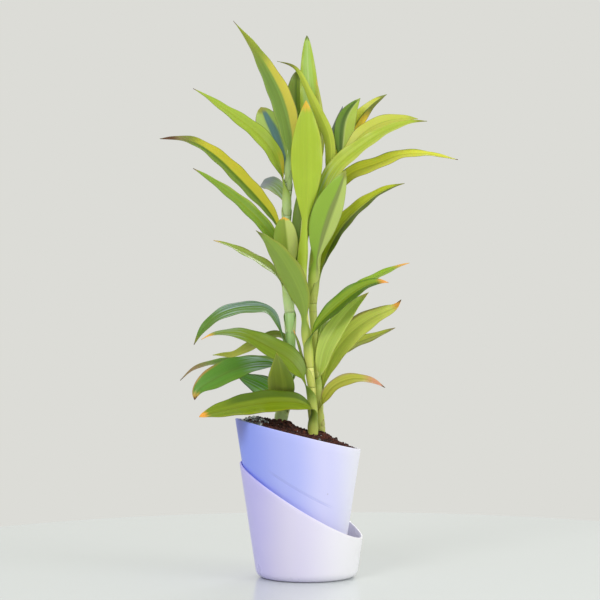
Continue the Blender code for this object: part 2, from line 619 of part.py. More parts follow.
def build():
    for thing in list(bpy.data.objects):
        bpy.data.objects.remove(thing)
    stand = bpy.data.objects.new("potted_bamboo", None)
    bpy.context.scene.collection.objects.link(stand)
    make_outer_pot(stand)
    make_inner_pot(stand)
    make_soil(stand)
    canes = {
        "cane_left": make_cane("cane_left", stand, (0.22, 0.36, 0.12)),
        "cane_middle": make_cane("cane_middle", stand, (0.45, 0.52, 0.10)),
        "cane_right": make_cane("cane_right", stand, (0.38, 0.48, 0.12)),
    }
    green = make_material("leaf green", (0.25, 0.42, 0.06), 0.4)
    straw = make_material("dry sheath", (0.50, 0.45, 0.18), 0.7)
    make_leaves(LEFT_LEAVES, canes, green)
    make_leaves(MIDDLE_LEAVES, canes, green)
    make_leaves(RIGHT_LEAVES, canes, green)
    make_leaves(SHEATHS, canes, straw)


build()
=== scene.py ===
"""Looks of the potted lucky bamboo: variegated leaves on three canes, in a slant-rimmed self-watering pot.

Sizes are millimetres unless a name says otherwise, turned into metres as each mesh is made. +Z is up and the
front is -Y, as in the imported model. Numbers inside materials and node trees are metres, shares or scales.
"""

import math

import bpy
import numpy as np
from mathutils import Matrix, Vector


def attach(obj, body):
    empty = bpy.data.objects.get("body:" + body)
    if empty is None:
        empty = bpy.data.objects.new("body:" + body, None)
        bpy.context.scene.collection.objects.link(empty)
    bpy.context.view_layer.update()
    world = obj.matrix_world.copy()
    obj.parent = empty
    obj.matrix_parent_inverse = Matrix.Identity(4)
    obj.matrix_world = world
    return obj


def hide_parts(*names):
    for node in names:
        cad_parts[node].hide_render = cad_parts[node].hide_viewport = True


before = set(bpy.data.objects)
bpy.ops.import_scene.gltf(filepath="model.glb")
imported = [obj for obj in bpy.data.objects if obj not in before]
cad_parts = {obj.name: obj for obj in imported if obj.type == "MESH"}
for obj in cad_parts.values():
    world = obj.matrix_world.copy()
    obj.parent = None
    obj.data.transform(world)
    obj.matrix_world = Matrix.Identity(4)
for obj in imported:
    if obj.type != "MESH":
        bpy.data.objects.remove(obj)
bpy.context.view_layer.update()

MM = 0.001

# Outer pot. The reservoir of a two-piece self-watering pot: one thin cone of glossy lilac white plastic,
# injection moulded, with a rounded foot and a steeply slanted, rounded rim.
POT_SIDES = 192
POT_WALL = 1.8
WALL_RINGS = 14
FILLET_STEPS = 10
LIP_STEPS = 10
BASE_RINGS = (0.35, 0.8)  # as shares of the flat base
FLOOR_RING = 0.5  # of the flat floor
# The pots' colour fades along X between these places: partly the plastic's own lilac, partly painted light
# that whitens the +X side.
LIGHT_AND_TINT_FROM_X, LIGHT_AND_TINT_TO_X = -58.0, 46.0
DUST = (120, 112, 130)
# Outer pot's colours along that fade; its near white end is painted light.
OUTER_TINT_AND_LIGHT = [(0.0, (190, 184, 248)), (0.45, (226, 220, 248)), (1.0, (244, 242, 246))]


def srgb(red, green, blue):
    """Linear colour of an 8 bit display colour."""
    return tuple(v / 255 / 12.92 if v < 11 else ((v / 255 + 0.055) / 1.055) ** 2.4
                 for v in (red, green, blue))


class Term:
    """What a node gives out. A sum written with terms adds the nodes that work it out."""

    def __init__(self, socket):
        self.socket, self.tree = socket, socket.id_data

    def math(self, operation, *others):
        return node(self.tree, "Math", dict(enumerate((self, *others))), operation=operation)

    def __add__(self, other):
        return self.math("ADD", other)

    def __sub__(self, other):
        return self.math("SUBTRACT", other)

    def __rsub__(self, other):
        return node(self.tree, "Math", {0: other, 1: self}, operation="SUBTRACT")

    def __mul__(self, other):
        return self.math("MULTIPLY", other)

    def __truediv__(self, other):
        return self.math("DIVIDE", other)

    def __pow__(self, other):
        return self.math("POWER", other)

    def __abs__(self):
        return self.math("ABSOLUTE")

    def bell(self):
        """One where this is zero, falling smoothly to nothing on both sides."""
        return (self * self * -1.0).math("EXPONENT")

    def out(self, key):
        """Another output of the same node."""
        return Term(self.socket.node.outputs[key])

    def axes(self):
        first = node(self.tree, "SeparateXYZ", {0: self})
        return first, first.out(1), first.out(2)


def give(made, inputs):
    """Fills a node's inputs: a term is linked, any other value is set on the socket."""
    for key, value in inputs.items():
        if isinstance(value, Term):
            value.tree.links.new(value.socket, made.inputs[key])
        else:
            made.inputs[key].default_value = value


def node(tree, kind, inputs=(), output=0, family="ShaderNode", **settings):
    """Adds a node and returns one of its outputs."""
    made = tree.nodes.new(family + kind)
    for name, value in settings.items():
        setattr(made, name, value)
    give(made, dict(inputs))
    return Term(made.outputs[output])


def new_material(name):
    material = bpy.data.materials.new(name)
    material.use_nodes = True
    return material, material.node_tree.nodes["Principled BSDF"]


def object_place(shader):
    return node(shader.id_data, "TexCoord", output="Object")


def noise(place, scale, detail):
    return node(place.tree, "TexNoise", {"Vector": place, "Scale": scale, "Detail": detail})


def bump(height, strength, distance, inputs=(), **settings):
    given = {"Strength": strength, "Distance": distance, "Height": height, **dict(inputs)}
    return node(height.tree, "Bump", given, **settings)


def coated(tint, *coats):
    """A tint with other colours laid over it, as (share, colour) pairs."""
    for share, colour in coats:
        first, second = (value if isinstance(value, Term) else (*value, 1) for value in (tint, colour))
        tint = node(share.tree, "Mix", {0: share, 6: first, 7: second}, 2, data_type="RGBA")
    return tint


def colour_ramp(factor, stops, interpolation="LINEAR"):
    """Runs through (place, linear colour) stops."""
    tint = node(factor.tree, "ValToRGB", {0: factor})
    ramp = tint.socket.node.color_ramp
    ramp.interpolation = interpolation
    while len(ramp.elements) < len(stops):
        ramp.elements.new(0.5)
    for element, (place, colour) in zip(ramp.elements, stops):
        element.position = place
        element.color = (*colour, 1)
    return tint


def spread(value, low, high, to_low=0.0, to_high=1.0):
    """Maps low..high to to_low..to_high with smooth ends."""
    return node(value.tree, "MapRange", {"Value": value, "From Min": low, "From Max": high, "To Min": to_low,
                                         "To Max": to_high}, interpolation_type="SMOOTHSTEP")


def pot_plastic(name, colours, roughness):
    """Moulded plastic whose colour fades along X, partly its own lilac tint and partly painted light, whiter
    towards +X as if lit from that side, with a very fine grain and a few dust specks.
    """
    material, shader = new_material(name)
    place = object_place(shader)
    wander = (noise(place, 14.0, 2.0) - 0.5) * 0.012 + place.axes()[0]
    share = node(place.tree, "MapRange", {"Value": wander, "From Min": LIGHT_AND_TINT_FROM_X * MM,
                                          "From Max": LIGHT_AND_TINT_TO_X * MM})
    tint = colour_ramp(share, [(stop, srgb(*colour)) for stop, colour in colours], "EASE")
    cells = node(place.tree, "TexVoronoi", {"Vector": place, "Scale": 55.0})
    rare = cells.out("Color").axes()[0].math("GREATER_THAN", 0.93)
    tint = coated(tint, (spread(cells, 0.03, 0.05, 1.0, 0.0) * rare * 0.35, srgb(*DUST)))
    give(shader, {
        "Base Color": tint,
        "Roughness": spread(noise(place, 30.0, 3.0), 0.3, 0.7, roughness - 0.05, roughness + 0.08),
        "Normal": bump(noise(place, 900.0, 3.0), 0.06, 0.0002),
        "Subsurface Weight": 0.12, "Subsurface Radius": (1.0, 0.9, 1.0), "Subsurface Scale": 0.004})
    return material


def add_object(name, data):
    made = bpy.data.objects.new(name, data)
    bpy.context.scene.collection.objects.link(made)
    return made


def add_mesh(name, points, faces, material, smooth=True):
    """A mesh piece from points in millimetres."""
    mesh = bpy.data.meshes.new(name)
    mesh.from_pydata([tuple(v * MM for v in point) for point in points], [], faces)
    if smooth:
        mesh.shade_smooth()
    mesh.materials.append(material)
    return add_object(name, mesh)


def closed_skin(rings, hubs=()):
    """Points and faces of a closed skin through a stack of rings, with flat ends or fans round two hubs."""
    sides = len(rings[0])
    points = [point for ring in rings for point in ring]
    faces = []
    for low in range(0, len(points) - sides, sides):
        for side in range(sides):
            after = (side + 1) % sides
            faces.append((low + side, low + after, low + sides + after, low + sides + side))
    ends = [tuple(range(sides))[::-1], tuple(range(len(points) - sides, len(points)))]
    for end, hub in zip(ends, hubs):
        faces += [(len(points), end[k - 1], end[k]) for k in range(sides)]
        points.append(hub)
    return points, faces if hubs else faces + ends


class Pot:
    """A round pot on its own upright axis, whose wall is a cone and whose rim is a slanted plane.

    radius is the cone's at Z = 0, flare its growth with height, slope the rim's rise along X and Y, and base
    the thickness of its bottom.
    """

    def __init__(self, axis_x, radius, flare, rim, slope, underside, base, fillet):
        self.axis_x, self.radius, self.flare, self.rim, self.slope = axis_x, radius, flare, rim, slope
        self.underside, self.floor, self.fillet = underside, underside + base, fillet

    def wall(self, height):
        return self.radius + self.flare * height

    def wall_points(self, start, end, inset=0.0):
        return [(self.wall(z) - inset, z) for z in np.linspace(start, end, WALL_RINGS + 1)[1:-1]]

    def rim_height(self, turn):
        """Height at which the wall meets the rim's plane, in the direction of turn."""
        rise = self.slope[0] * math.cos(turn) + self.slope[1] * math.sin(turn)
        return (self.rim + self.slope[0] * self.axis_x + self.radius * rise) / (1 - self.flare * rise)

    def outline(self, rim):
        """Section in one direction, as (distance from the axis, height) from under the base to the floor."""
        lean, fillet, corner, lip = math.atan(self.flare), self.fillet, self.fillet / 2, POT_WALL / 2
        middle = self.wall(self.underside + fillet * (1 - math.sin(lean))) - fillet * math.cos(lean)
        outline = [(middle * share, self.underside) for share in BASE_RINGS]
        for turn in np.linspace(-math.pi / 2, -lean, FILLET_STEPS + 1):
            outline.append((middle + fillet * math.cos(turn),
                            self.underside + fillet + fillet * math.sin(turn)))
        shoulder, inner_end = rim - lip, self.floor + corner
        outline += self.wall_points(outline[-1][1], shoulder)
        for turn in np.linspace(0, math.pi, LIP_STEPS + 1):
            outline.append((self.wall(shoulder) - lip + lip * math.cos(turn),
                            shoulder + lip * math.sin(turn)))
        outline += self.wall_points(shoulder, inner_end, POT_WALL)
        flat = self.wall(self.floor) - POT_WALL - corner
        for share in np.linspace(0, 1, FILLET_STEPS + 1):
            turn = -math.pi / 2 * share
            outline.append((flat + corner * math.cos(turn) + self.flare * corner * (1 - share),
                            inner_end + corner * math.sin(turn)))
        return outline + [(flat * FLOOR_RING, self.floor)]

    def revolved(self, sides, outline_at):
        """Rings of points from the section in each direction."""
        columns = []
        for turn in np.linspace(0, 2 * math.pi, sides, endpoint=False):
            across, along = math.cos(turn), math.sin(turn)
            columns.append([(self.axis_x + r * across, r * along, z) for r, z in outline_at(turn)])
        return list(zip(*columns))

    def skin(self, name, material):
        rings = self.revolved(POT_SIDES, lambda turn: self.outline(self.rim_height(turn)))
        hubs = [(self.axis_x, 0, ring[0][2]) for ring in (rings[0], rings[-1])]
        return add_mesh(name, *closed_skin(rings, hubs), material)


def finish_piece(piece, node_name=None):
    """Enters a piece that stands still, in place of a CAD node where it has one."""
    if node_name:
        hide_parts(node_name)
    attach(piece, "root")


OUTER = Pot(axis_x=0.0, radius=43.8, flare=0.152, rim=65.0, slope=(-0.594, 0.105), underside=0.0, base=2.4,
            fillet=8.0)
reservoir = OUTER.skin("reservoir_pot", pot_plastic("lilac white plastic", OUTER_TINT_AND_LIGHT, 0.32))
finish_piece(reservoir, "outer_pot")

# Inner pot. The planting pot, moulded of the same plastic in a bluer lilac. It leans on the reservoir's left
# wall, stands on three short feet, and drains through six holes in its floor.
INNER = Pot(axis_x=-5.6, radius=35.6, flare=0.156, rim=123.3, slope=(-0.2436, -0.024), underside=12.0,
            base=2.0, fillet=4.0)
# Inner pot's colours along the same fade; the bluer lilac is its own tint, the near white end painted light.
INNER_TINT_AND_LIGHT = [(0.0, (138, 156, 255)), (0.4, (180, 188, 255)), (0.72, (212, 212, 254)),
                 (1.0, (236, 236, 250))]
FOOT_COUNT, FOOT_RADIUS, FOOT_CIRCLE = 3, 5.0, 24.0
DRAIN_COUNT, DRAIN_RADIUS, DRAIN_CIRCLE = 6, 2.5, 14.0
FIRST_FOOT, FIRST_DRAIN = 90, 30  # degrees from +X
BAR_SIDES = 32
OVERLAP = 1.0  # of a cutter or a foot beyond the surface that it meets
CREASE_ABOVE_RIM = 15.4  # the faint moulded line runs this far above the reservoir's rim
# Colours of the painted shade along the crease and of the painted shadow at the upper left.
CREASE_SHADE_COLOUR, CORNER_SHADOW_COLOUR = (140, 146, 214), (114, 120, 202)

inner_plastic = pot_plastic("periwinkle plastic", INNER_TINT_AND_LIGHT, 0.42)


def paint_crease_and_shadow(shader):
    """A faint moulded step across the front, parallel to the outer pot's rim, with painted shade along it, and
    a painted shadow on the pot's upper left.
    """
    tint, grain = (Term(shader.inputs[name].links[0].from_socket) for name in ("Base Color", "Normal"))
    x, y, z = object_place(shader).axes()
    above = y * -OUTER.slope[1] + (x * -OUTER.slope[0] + z) - (OUTER.rim + CREASE_ABOVE_RIM) * MM
    fade = spread(x, -0.035, -0.026) * spread(x, 0.025, 0.012) * y.math("LESS_THAN", 0.0)
    step = spread(above, -0.0006, 0.0006) * fade
    # Painted shade along the step.
    shade = spread(abs(above), 0.0018, 0.0) * fade
    # Painted shadow of the leaves above, darkening the pot's upper left.
    corner = spread(x, -0.048, -0.058) * spread(z, 0.110, 0.132)
    tint = coated(tint, (shade * 0.45, srgb(*CREASE_SHADE_COLOUR)), (corner * 0.8, srgb(*CORNER_SHADOW_COLOUR)))
    give(shader, {"Base Color": tint, "Normal": bump(step, 0.5, 0.0006, {"Normal": grain}, invert=True)})


def round_ring(x, y, z, radius, sides):
    turns = np.linspace(0, 2 * math.pi, sides, endpoint=False)
    return [(x + radius * math.cos(turn), y + radius * math.sin(turn), z) for turn in turns]


def combine(piece, cutter, operation):
    boolean = piece.modifiers.new("combine", "BOOLEAN")
    boolean.operation = operation
    boolean.object = cutter
    graph = bpy.context.evaluated_depsgraph_get()
    mesh = bpy.data.meshes.new_from_object(piece.evaluated_get(graph))
    piece.modifiers.remove(boolean)
    piece.data = mesh
    bpy.data.objects.remove(cutter)


def combine_bars(piece, count, first, circle, radius, bottom, top, operation):
    """Adds or takes away upright bars that stand evenly on a circle round the inner pot's axis."""
    for number in range(count):
        turn = math.radians(first + 360 / count * number)
        x, y = INNER.axis_x + circle * math.cos(turn), circle * math.sin(turn)
        rings = [round_ring(x, y, z, radius, BAR_SIDES) for z in (bottom, top)]
        combine(piece, add_mesh("bar", *closed_skin(rings), inner_plastic), operation)


paint_crease_and_shadow(inner_plastic.node_tree.nodes["Principled BSDF"])
planter = INNER.skin("planting_pot", inner_plastic)
combine_bars(planter, FOOT_COUNT, FIRST_FOOT, FOOT_CIRCLE, FOOT_RADIUS, OUTER.floor,
             INNER.underside + OVERLAP, "UNION")
combine_bars(planter, DRAIN_COUNT, FIRST_DRAIN, DRAIN_CIRCLE, DRAIN_RADIUS, INNER.underside - OVERLAP,
             INNER.floor + OVERLAP, "DIFFERENCE")
finish_piece(planter, "inner_pot")

# Canes. Three green shoots a few millimetres thick, each one grown stem with a ring at every old leaf scar.
# Their skin is smooth and waxy, and its green changes from the foot to the top.
CANE_SIDES = 28
CANE_STEP = 0.8
RING_PITCH = 19.0
RING_SWELL = 0.02  # of the radius
RING_WIDTH = 1.0
FINE_STEPS = 20  # of a spline between two of its points
LEAST_STEPS = 8

CANE_ROUTES = {  # x, y, z and radius, from the soil to the youngest leaves
    "cane_left": (
        (-28.4, 5, 100, 4.8), (-26.0, 5.4, 116, 4.8), (-23.6, 5.8, 132, 4.8), (-18.2, 7, 165, 4.7),
        (-13.9, 8, 198, 4.6), (-14.6, 8.6, 225, 4.5), (-16.0, 9, 251, 4.3), (-18.2, 9, 290, 3.9),
        (-17.8, 9, 325, 3.4), (-16.2, 8.4, 350, 3.0), (-15.2, 8, 376, 1.8),
    ),
    "cane_middle": (
        (5.8, -5, 94, 3.5), (5.6, -5.4, 112, 3.5), (5.4, -5.8, 130, 3.5), (5.2, -6, 154, 3.4),
        (3.6, -6, 177, 3.3), (1.1, -6, 198, 3.3), (-1.6, -6, 225, 3.2), (-4.2, -6, 251, 3.2),
        (-4.6, -6, 276, 3.0), (-2.8, -6, 300, 3.0), (0.0, -5.6, 330, 2.7), (3.0, -5, 366, 1.6),
    ),
    "cane_right": (
        (15.4, 5, 90, 3.0), (14.0, 4.6, 107, 3.0), (12.6, 4.2, 124, 3.0), (10.6, 4, 146, 3.0),
        (9.2, 4, 176, 3.0), (8.0, 4, 200, 3.1), (5.6, 4, 228, 3.4), (5.0, 4, 243, 3.7),
        (6.4, 4, 265, 4.1), (8.6, 4, 287, 4.1), (13.2, 4, 306, 3.6), (18.6, 4, 327, 3.1),
        (24.2, 4.3, 349, 2.5), (28.0, 5.3, 366, 1.3),
    ),
}
CANE_COLOURS = {  # shade, then the colours of the foot, the middle, the top and the rings
    "cane_left": ("blue green", (150, 172, 84), (152, 194, 104), (238, 254, 226), (170, 196, 144)),
    "cane_middle": ("yellow green", (188, 192, 74), (232, 236, 136), (196, 212, 104), (150, 150, 70)),
    "cane_right": ("light green", (150, 160, 58), (190, 200, 98), (168, 194, 84), (134, 134, 60)),
}


def spline_points(route, step):
    """Points along a smooth cubic B-spline that starts and ends at the route's ends, about one step apart."""
    knots = np.array([route[0]] * 2 + [tuple(point) for point in route] + [route[-1]] * 2, float)
    t = np.linspace(0, 1, FINE_STEPS, endpoint=False)[:, None]
    weights = np.hstack(((1 - t) ** 3, 3 * t**3 - 6 * t**2 + 4, -3 * t**3 + 3 * t**2 + 3 * t + 1, t**3)) / 6
    fine = np.vstack([weights @ knots[i:i + 4] for i in range(len(knots) - 3)] + [knots[-1:]])
    lengths = run_lengths(fine)
    places = np.linspace(0, lengths[-1], max(LEAST_STEPS, round(lengths[-1] / step)) + 1)
    return np.stack([np.interp(places, lengths, fine[:, axis]) for axis in range(fine.shape[1])], 1)


def run_lengths(points):
    """Length run along a line at each of its points."""
    return np.concatenate(([0], np.cumsum(np.linalg.norm(np.diff(points, axis=0), axis=1))))


def geo(tree, kind, inputs=(), output=0, **settings):
    return node(tree, kind, inputs, output, "GeometryNode", **settings)


def new_tree(name, **kinds):
    """A Geometry Nodes tree with a geometry input and others, given as label=type, and those inputs."""
    tree = bpy.data.node_groups.new(name, "GeometryNodeTree")
    for label, kind in {"Geometry": "Geometry", **kinds}.items():
        tree.interface.new_socket(label, in_out="INPUT", socket_type="NodeSocket" + kind)
    tree.interface.new_socket("Geometry", in_out="OUTPUT", socket_type="NodeSocketGeometry")
    given = tree.nodes.new("NodeGroupInput")
    return tree, {label: Term(given.outputs[label]) for label in ("Geometry", *kinds)}


def end_tree(tree, geometry, skin, **other_skin):
    """Closes a tree: real faces for instances, then the material, and another one where other_skin says."""
    real = geo(tree, "RealizeInstances", {"Geometry": geometry})
    dressed = geo(tree, "SetMaterial", {"Geometry": real, "Material": skin})
    if other_skin:
        dressed = geo(tree, "SetMaterial", {"Geometry": dressed, **other_skin})
    give(tree.nodes.new("NodeGroupOutput"), {0: dressed})
    return tree


def smoothed(geometry):
    return geo(geometry.tree, "SetShadeSmooth", {"Geometry": geometry})


def grow(source, tree, name, **values):
    """Runs a tree on an object with the given input values, and links the result as a plain mesh."""
    modifier = source.modifiers.new("grow", "NODES")
    modifier.node_group = tree
    for item in tree.interface.items_tree:
        if item.in_out == "INPUT" and item.name in values:
            modifier[item.identifier] = values[item.name]
    graph = bpy.context.evaluated_depsgraph_get()
    mesh = bpy.data.meshes.new_from_object(source.evaluated_get(graph))
    source.modifiers.remove(modifier)
    mesh.name = name
    return add_object(name, mesh)


def vector_math(operation, *values, output="Vector"):
    return node(values[0].tree, "VectorMath", dict(enumerate(values)), output, operation=operation)


def scaled(vector, factor):
    return node(vector.tree, "VectorMath", {0: vector, "Scale": factor}, operation="SCALE")


def read(tree, name, kind="FLOAT"):
    return geo(tree, "InputNamedAttribute", {"Name": name}, data_type=kind)


def store(geometry, name, value, kind="FLOAT", domain="POINT"):
    return geo(geometry.tree, "StoreNamedAttribute", {"Geometry": geometry, "Name": name, "Value": value},
               data_type=kind, domain=domain)


def cane_tree():
    """Sweeps a round section along the cane's line, swollen into a ring at every pitch."""
    tree, given = new_tree("cane", Pitch="Float", Swell="Float", Width="Float", Sides="Int", Skin="Material")
    line = geo(tree, "MeshToCurve", {"Mesh": given["Geometry"]})
    length = geo(tree, "SplineParameter", output="Length")
    ring = ((length.math("MODULO", given["Pitch"]) - given["Pitch"] * 0.5) / given["Width"]).bell()
    line = store(store(line, "ring", ring), "up", length)
    circle = geo(tree, "CurvePrimitiveCircle", {"Resolution": given["Sides"], "Radius": 1.0})
    circle = store(circle, "round", geo(tree, "InputPosition"), "FLOAT_VECTOR")
    radius = read(tree, "thickness") * (ring * given["Swell"] + 1.0)
    swept = geo(tree, "CurveToMesh", {"Curve": line, "Profile Curve": circle, "Scale": radius,
                                      "Fill Caps": True})
    return end_tree(tree, smoothed(swept), given["Skin"])


def attribute(shader, name, output="Fac"):
    return node(shader.id_data, "Attribute", output=output, attribute_name=name)


def cane_skin(name, *colours):
    """Waxy skin that changes up the cane, striped and streaked lengthwise, with a fine line at each ring."""
    foot, middle, top, ring = (srgb(*colour) for colour in colours)
    darker = tuple(v * 0.72 for v in middle)
    lighter = tuple(min(1, v * 1.35 + 0.02) for v in middle)
    material, shader = new_material(name)
    place = object_place(shader)
    x, y, _ = attribute(shader, "round", "Vector").axes()
    skin_place = node(place.tree, "CombineXYZ", {0: x, 1: y, 2: attribute(shader, "up") * 6.0})
    stripe, streak = noise(skin_place, 2.6, 1.0), noise(skin_place, 9.0, 4.0)
    share = node(place.tree, "MapRange", {"Value": place.axes()[2], "From Min": 0.118, "From Max": 0.37})
    share = (noise(place, 60.0, 2.0) - 0.5) * 0.16 + share
    tint = coated(colour_ramp(share, [(0.0, foot), (0.12, foot), (0.28, middle), (1.0, top)]),
                  (spread(stripe, 0.44, 0.6, 0.0, 0.45), darker),
                  (spread(streak, 0.4, 0.7, 0.0, 0.4), lighter),
                  (spread(attribute(shader, "ring"), 0.6, 1.0, 0.0, 0.28), ring))
    give(shader, {"Base Color": tint, "Normal": bump(streak, 0.25, 0.0002), "Roughness": 0.4,
                  "Subsurface Weight": 0.1, "Subsurface Scale": 0.003})
    return material


def add_line(name, points, attributes):
    """A mesh line from points in millimetres, which carry the given attributes."""
    mesh = bpy.data.meshes.new(name)
    mesh.from_pydata([tuple(point * MM) for point in np.asarray(points)[:, :3]],
                     [(i, i + 1) for i in range(len(points) - 1)], [])
    for label, values in attributes.items():
        values = np.asarray(values, np.float32)
        kind, field = ("FLOAT_VECTOR", "vector") if values.ndim == 2 else ("FLOAT", "value")
        mesh.attributes.new(label, kind, "POINT").data.foreach_set(field, values.ravel())
    return add_object(name, mesh)


sweep_cane = cane_tree()
for cane_name, (shade, *colours) in CANE_COLOURS.items():
    skin = cane_skin(shade + " cane", *colours)
    points = spline_points(CANE_ROUTES[cane_name], CANE_STEP)
    line = add_line(cane_name + "_line", points, {"thickness": points[:, 3] * MM})
    stem = grow(line, sweep_cane, "stem_" + cane_name.split("_")[1], Pitch=RING_PITCH * MM, Swell=RING_SWELL,
                Width=RING_WIDTH * MM, Sides=CANE_SIDES, Skin=skin)
    bpy.data.objects.remove(line)
    finish_piece(stem, cane_name)

# Soil. Dark reddish brown potting mix of peat and fine bark, heaped a little above the rim, with pale grit
# at its left edge. Its body is one piece with a plain hole for each cane, and loose crumbs lie on top.
SOIL_SIDES = 96
SOIL_RING_COUNT = 30
SOIL_BELOW_RIM = 2.5
SOIL_HEAP = 3.0
SOIL_MOUNDS = ((-17, 4, 13, 8.0), (13, 2, 12, 6.5), (-46, 5, 14, 8.0))  # x, y, reach and height
SOIL_LUMP = 1.2
SOIL_LUMP_LENGTH = 16.0
SOIL_OFF_WALL = 0.1
SOIL_FOOT = 1.0  # height of the bevel round its underside, above the pot's own fillet
CLEARANCE = 0.3
HOLE_SIDES = 24
HOLE_STEP = 12
HOLE_TOP = 165  # well above the heap
CRUMB_DENSITY = 300000.0  # per square metre
CRUMB_SIZE = 1.25  # radius
CRUMB_SEED = 11
LARGE_SEED, GRIT_SEED = 3, 5
GRIT_TO_X, GRIT_FROM_X = -0.050, -0.030  # grit is common at the first X, and rare from the second on

potting_mix, mix_shader = new_material("potting mix")
mix_place = object_place(mix_shader)
mix_lump = noise(mix_place, 260.0, 5.0)
mix_tint = colour_ramp(mix_lump, [(0.3, srgb(24, 9, 7)), (0.5, srgb(72, 32, 24)), (0.7, srgb(122, 66, 46))])
mix_damp = spread(noise(mix_place, 70.0, 2.0), 0.4, 0.65, 0.0, 0.6)
give(mix_shader, {"Base Color": coated(mix_tint, (mix_damp, srgb(34, 14, 12))), "Roughness": 0.95,
                  "Normal": bump(mix_lump, 1.0, 0.0012)})

grit, grit_shader = new_material("pale grit")
grit_tint = colour_ramp(noise(object_place(grit_shader), 420.0, 3.0),
                        [(0.36, srgb(44, 48, 50)), (0.5, srgb(124, 130, 134)), (0.64, srgb(222, 226, 228))])
give(grit_shader, {"Base Color": grit_tint, "Roughness": 0.8})


def soil_height(x, y, share):
    """Height of the soil's top. share runs from 0 at the inner pot's axis to 1 at its wall."""
    plane = INNER.rim + INNER.slope[0] * x + INNER.slope[1] * y
    heap = SOIL_HEAP + sum(
        height * math.exp(-((x - across) ** 2 + (y - along) ** 2) / reach**2)
        for across, along, reach, height in SOIL_MOUNDS
    )
    lump = math.sin(x / SOIL_LUMP_LENGTH * 3.1 + 0.6) * math.cos(y / SOIL_LUMP_LENGTH * 2.7 - 0.8)
    return plane - SOIL_BELOW_RIM + heap * (1 - share**4) + SOIL_LUMP * lump * (1 - share)


def soil_outline(turn):
    """Section of the soil in one direction, from its underside over the brim to near the pot's axis."""
    inset = POT_WALL + SOIL_OFF_WALL
    bottom, brim = INNER.floor + CLEARANCE, INNER.rim_height(turn) - SOIL_BELOW_RIM
    foot = bottom + INNER.fillet / 2 + SOIL_FOOT
    outline = [(INNER.wall(bottom) - inset - INNER.fillet / 2 - CLEARANCE, bottom)]
    outline += [(INNER.wall(z) - inset, z) for z in (foot, brim)]
    for share in 1 - np.arange(1, SOIL_RING_COUNT) / SOIL_RING_COUNT:
        r = outline[2][0] * share
        outline.append((r, soil_height(INNER.axis_x + r * math.cos(turn), r * math.sin(turn), share)))
    return outline


def crumb_tree():
    """Strews rough grains over the upward faces of the soil, more of them grit towards the low X edge."""
    tree, given = new_tree("crumbs", Density="Float", Size="Float", Seed="Int", Mix="Material",
                           Grit="Material")

    def chance(seed):
        return node(tree, "RandomValue", {2: 0.0, 3: 1.0, "Seed": seed}, 1, "FunctionNode", data_type="FLOAT")

    def random_vector(low, high):
        return node(tree, "RandomValue", {"Min": low, "Max": high, "Seed": given["Seed"]},
                    family="FunctionNode", data_type="FLOAT_VECTOR")

    facing = vector_math("DOT_PRODUCT", geo(tree, "InputNormal"), (0.0, 0.0, 1.0), output="Value")
    facing = geo(tree, "FieldOnDomain", {"Value": facing}, data_type="FLOAT", domain="FACE")
    spots = geo(tree, "DistributePointsOnFaces",
                {"Mesh": given["Geometry"], "Selection": facing.math("GREATER_THAN", 0.3),
                 "Density": given["Density"], "Seed": given["Seed"]})
    grain = geo(tree, "MeshIcoSphere", {"Radius": given["Size"], "Subdivisions": 2})
    rough = node(tree, "TexNoise", {"Scale": 900.0, "Detail": 1.0}, "Color")
    shift = scaled(vector_math("SUBTRACT", rough, (0.5, 0.5, 0.5)), 0.0016)
    grain = geo(tree, "SetPosition", {"Geometry": grain, "Offset": shift})
    turn = random_vector((0.0,) * 3, (6.28,) * 3)
    size = scaled(random_vector((0.3,) * 3, (1.6, 1.2, 0.9)), chance(LARGE_SEED) ** 8.0 * 1.3 + 0.8)
    placed = geo(tree, "InstanceOnPoints", {"Points": spots, "Instance": grain, "Rotation": turn,
                                            "Scale": size})
    edge = spread(geo(tree, "InputPosition").axes()[0], GRIT_FROM_X, GRIT_TO_X, 0.015, 0.85)
    placed = store(placed, "grit", chance(GRIT_SEED).math("LESS_THAN", edge), domain="INSTANCE")
    return end_tree(tree, placed, given["Mix"], Selection=read(tree, "grit"), Material=given["Grit"])


bed = add_mesh("soil_body", *closed_skin(INNER.revolved(SOIL_SIDES, soil_outline)), potting_mix)
crumbs = grow(bed, crumb_tree(), "soil_crumbs", Density=CRUMB_DENSITY, Size=CRUMB_SIZE * MM, Seed=CRUMB_SEED,
              Mix=potting_mix, Grit=grit)
for route in CANE_ROUTES.values():
    points = spline_points(route, HOLE_STEP)
    rings = [round_ring(x, y, z, radius + CLEARANCE, HOLE_SIDES)
             for x, y, z, radius in points if z < HOLE_TOP]
    combine(bed, add_mesh("hole", *closed_skin(rings), potting_mix), "DIFFERENCE")
finish_piece(bed, "soil")
finish_piece(crumbs)

# Leaves. Each is a long waxy blade whose base is rolled round its cane as a sheath; above it the blade opens
# into a shallow gutter with fine parallel veins, paler margins and a dry, orange to brown tip.
LEAF_COLUMNS = 24
LEAF_STEP = 2.2
LEAF_THICKNESS = 0.55
TIP_WIDTH = 0.5
CLASP_GAP = 0.7  # between the cane and the plain blade of the CAD model
CAD_BLADE_THICKNESS = 0.8
CLASP_LENGTH = 7.0
LEAST_REACH = 2.5
SHEATH_LENGTH = 15.0
SHEATH_STEP = 1.5
SHEATH_GAP = 0.05
SHEATH_ARC = math.radians(330)
BASE_ARC = math.radians(200)
TURN_LENGTH = 0.3  # share of the leaf in which it turns away from its cane
OPEN_FROM, OPEN_LENGTH = 0.08, 0.2  # as shares, where the groove and the waves set in
WAVE_LENGTH = 24.0
WAVE_SHIFT = 0.37  # of the waves from one leaf to the next
CANE_PROBE = 3.0  # step along a cane when its direction is read
FULL_TURN = 6.283
FRONT = np.array((0.0, -1.0, 0.0))


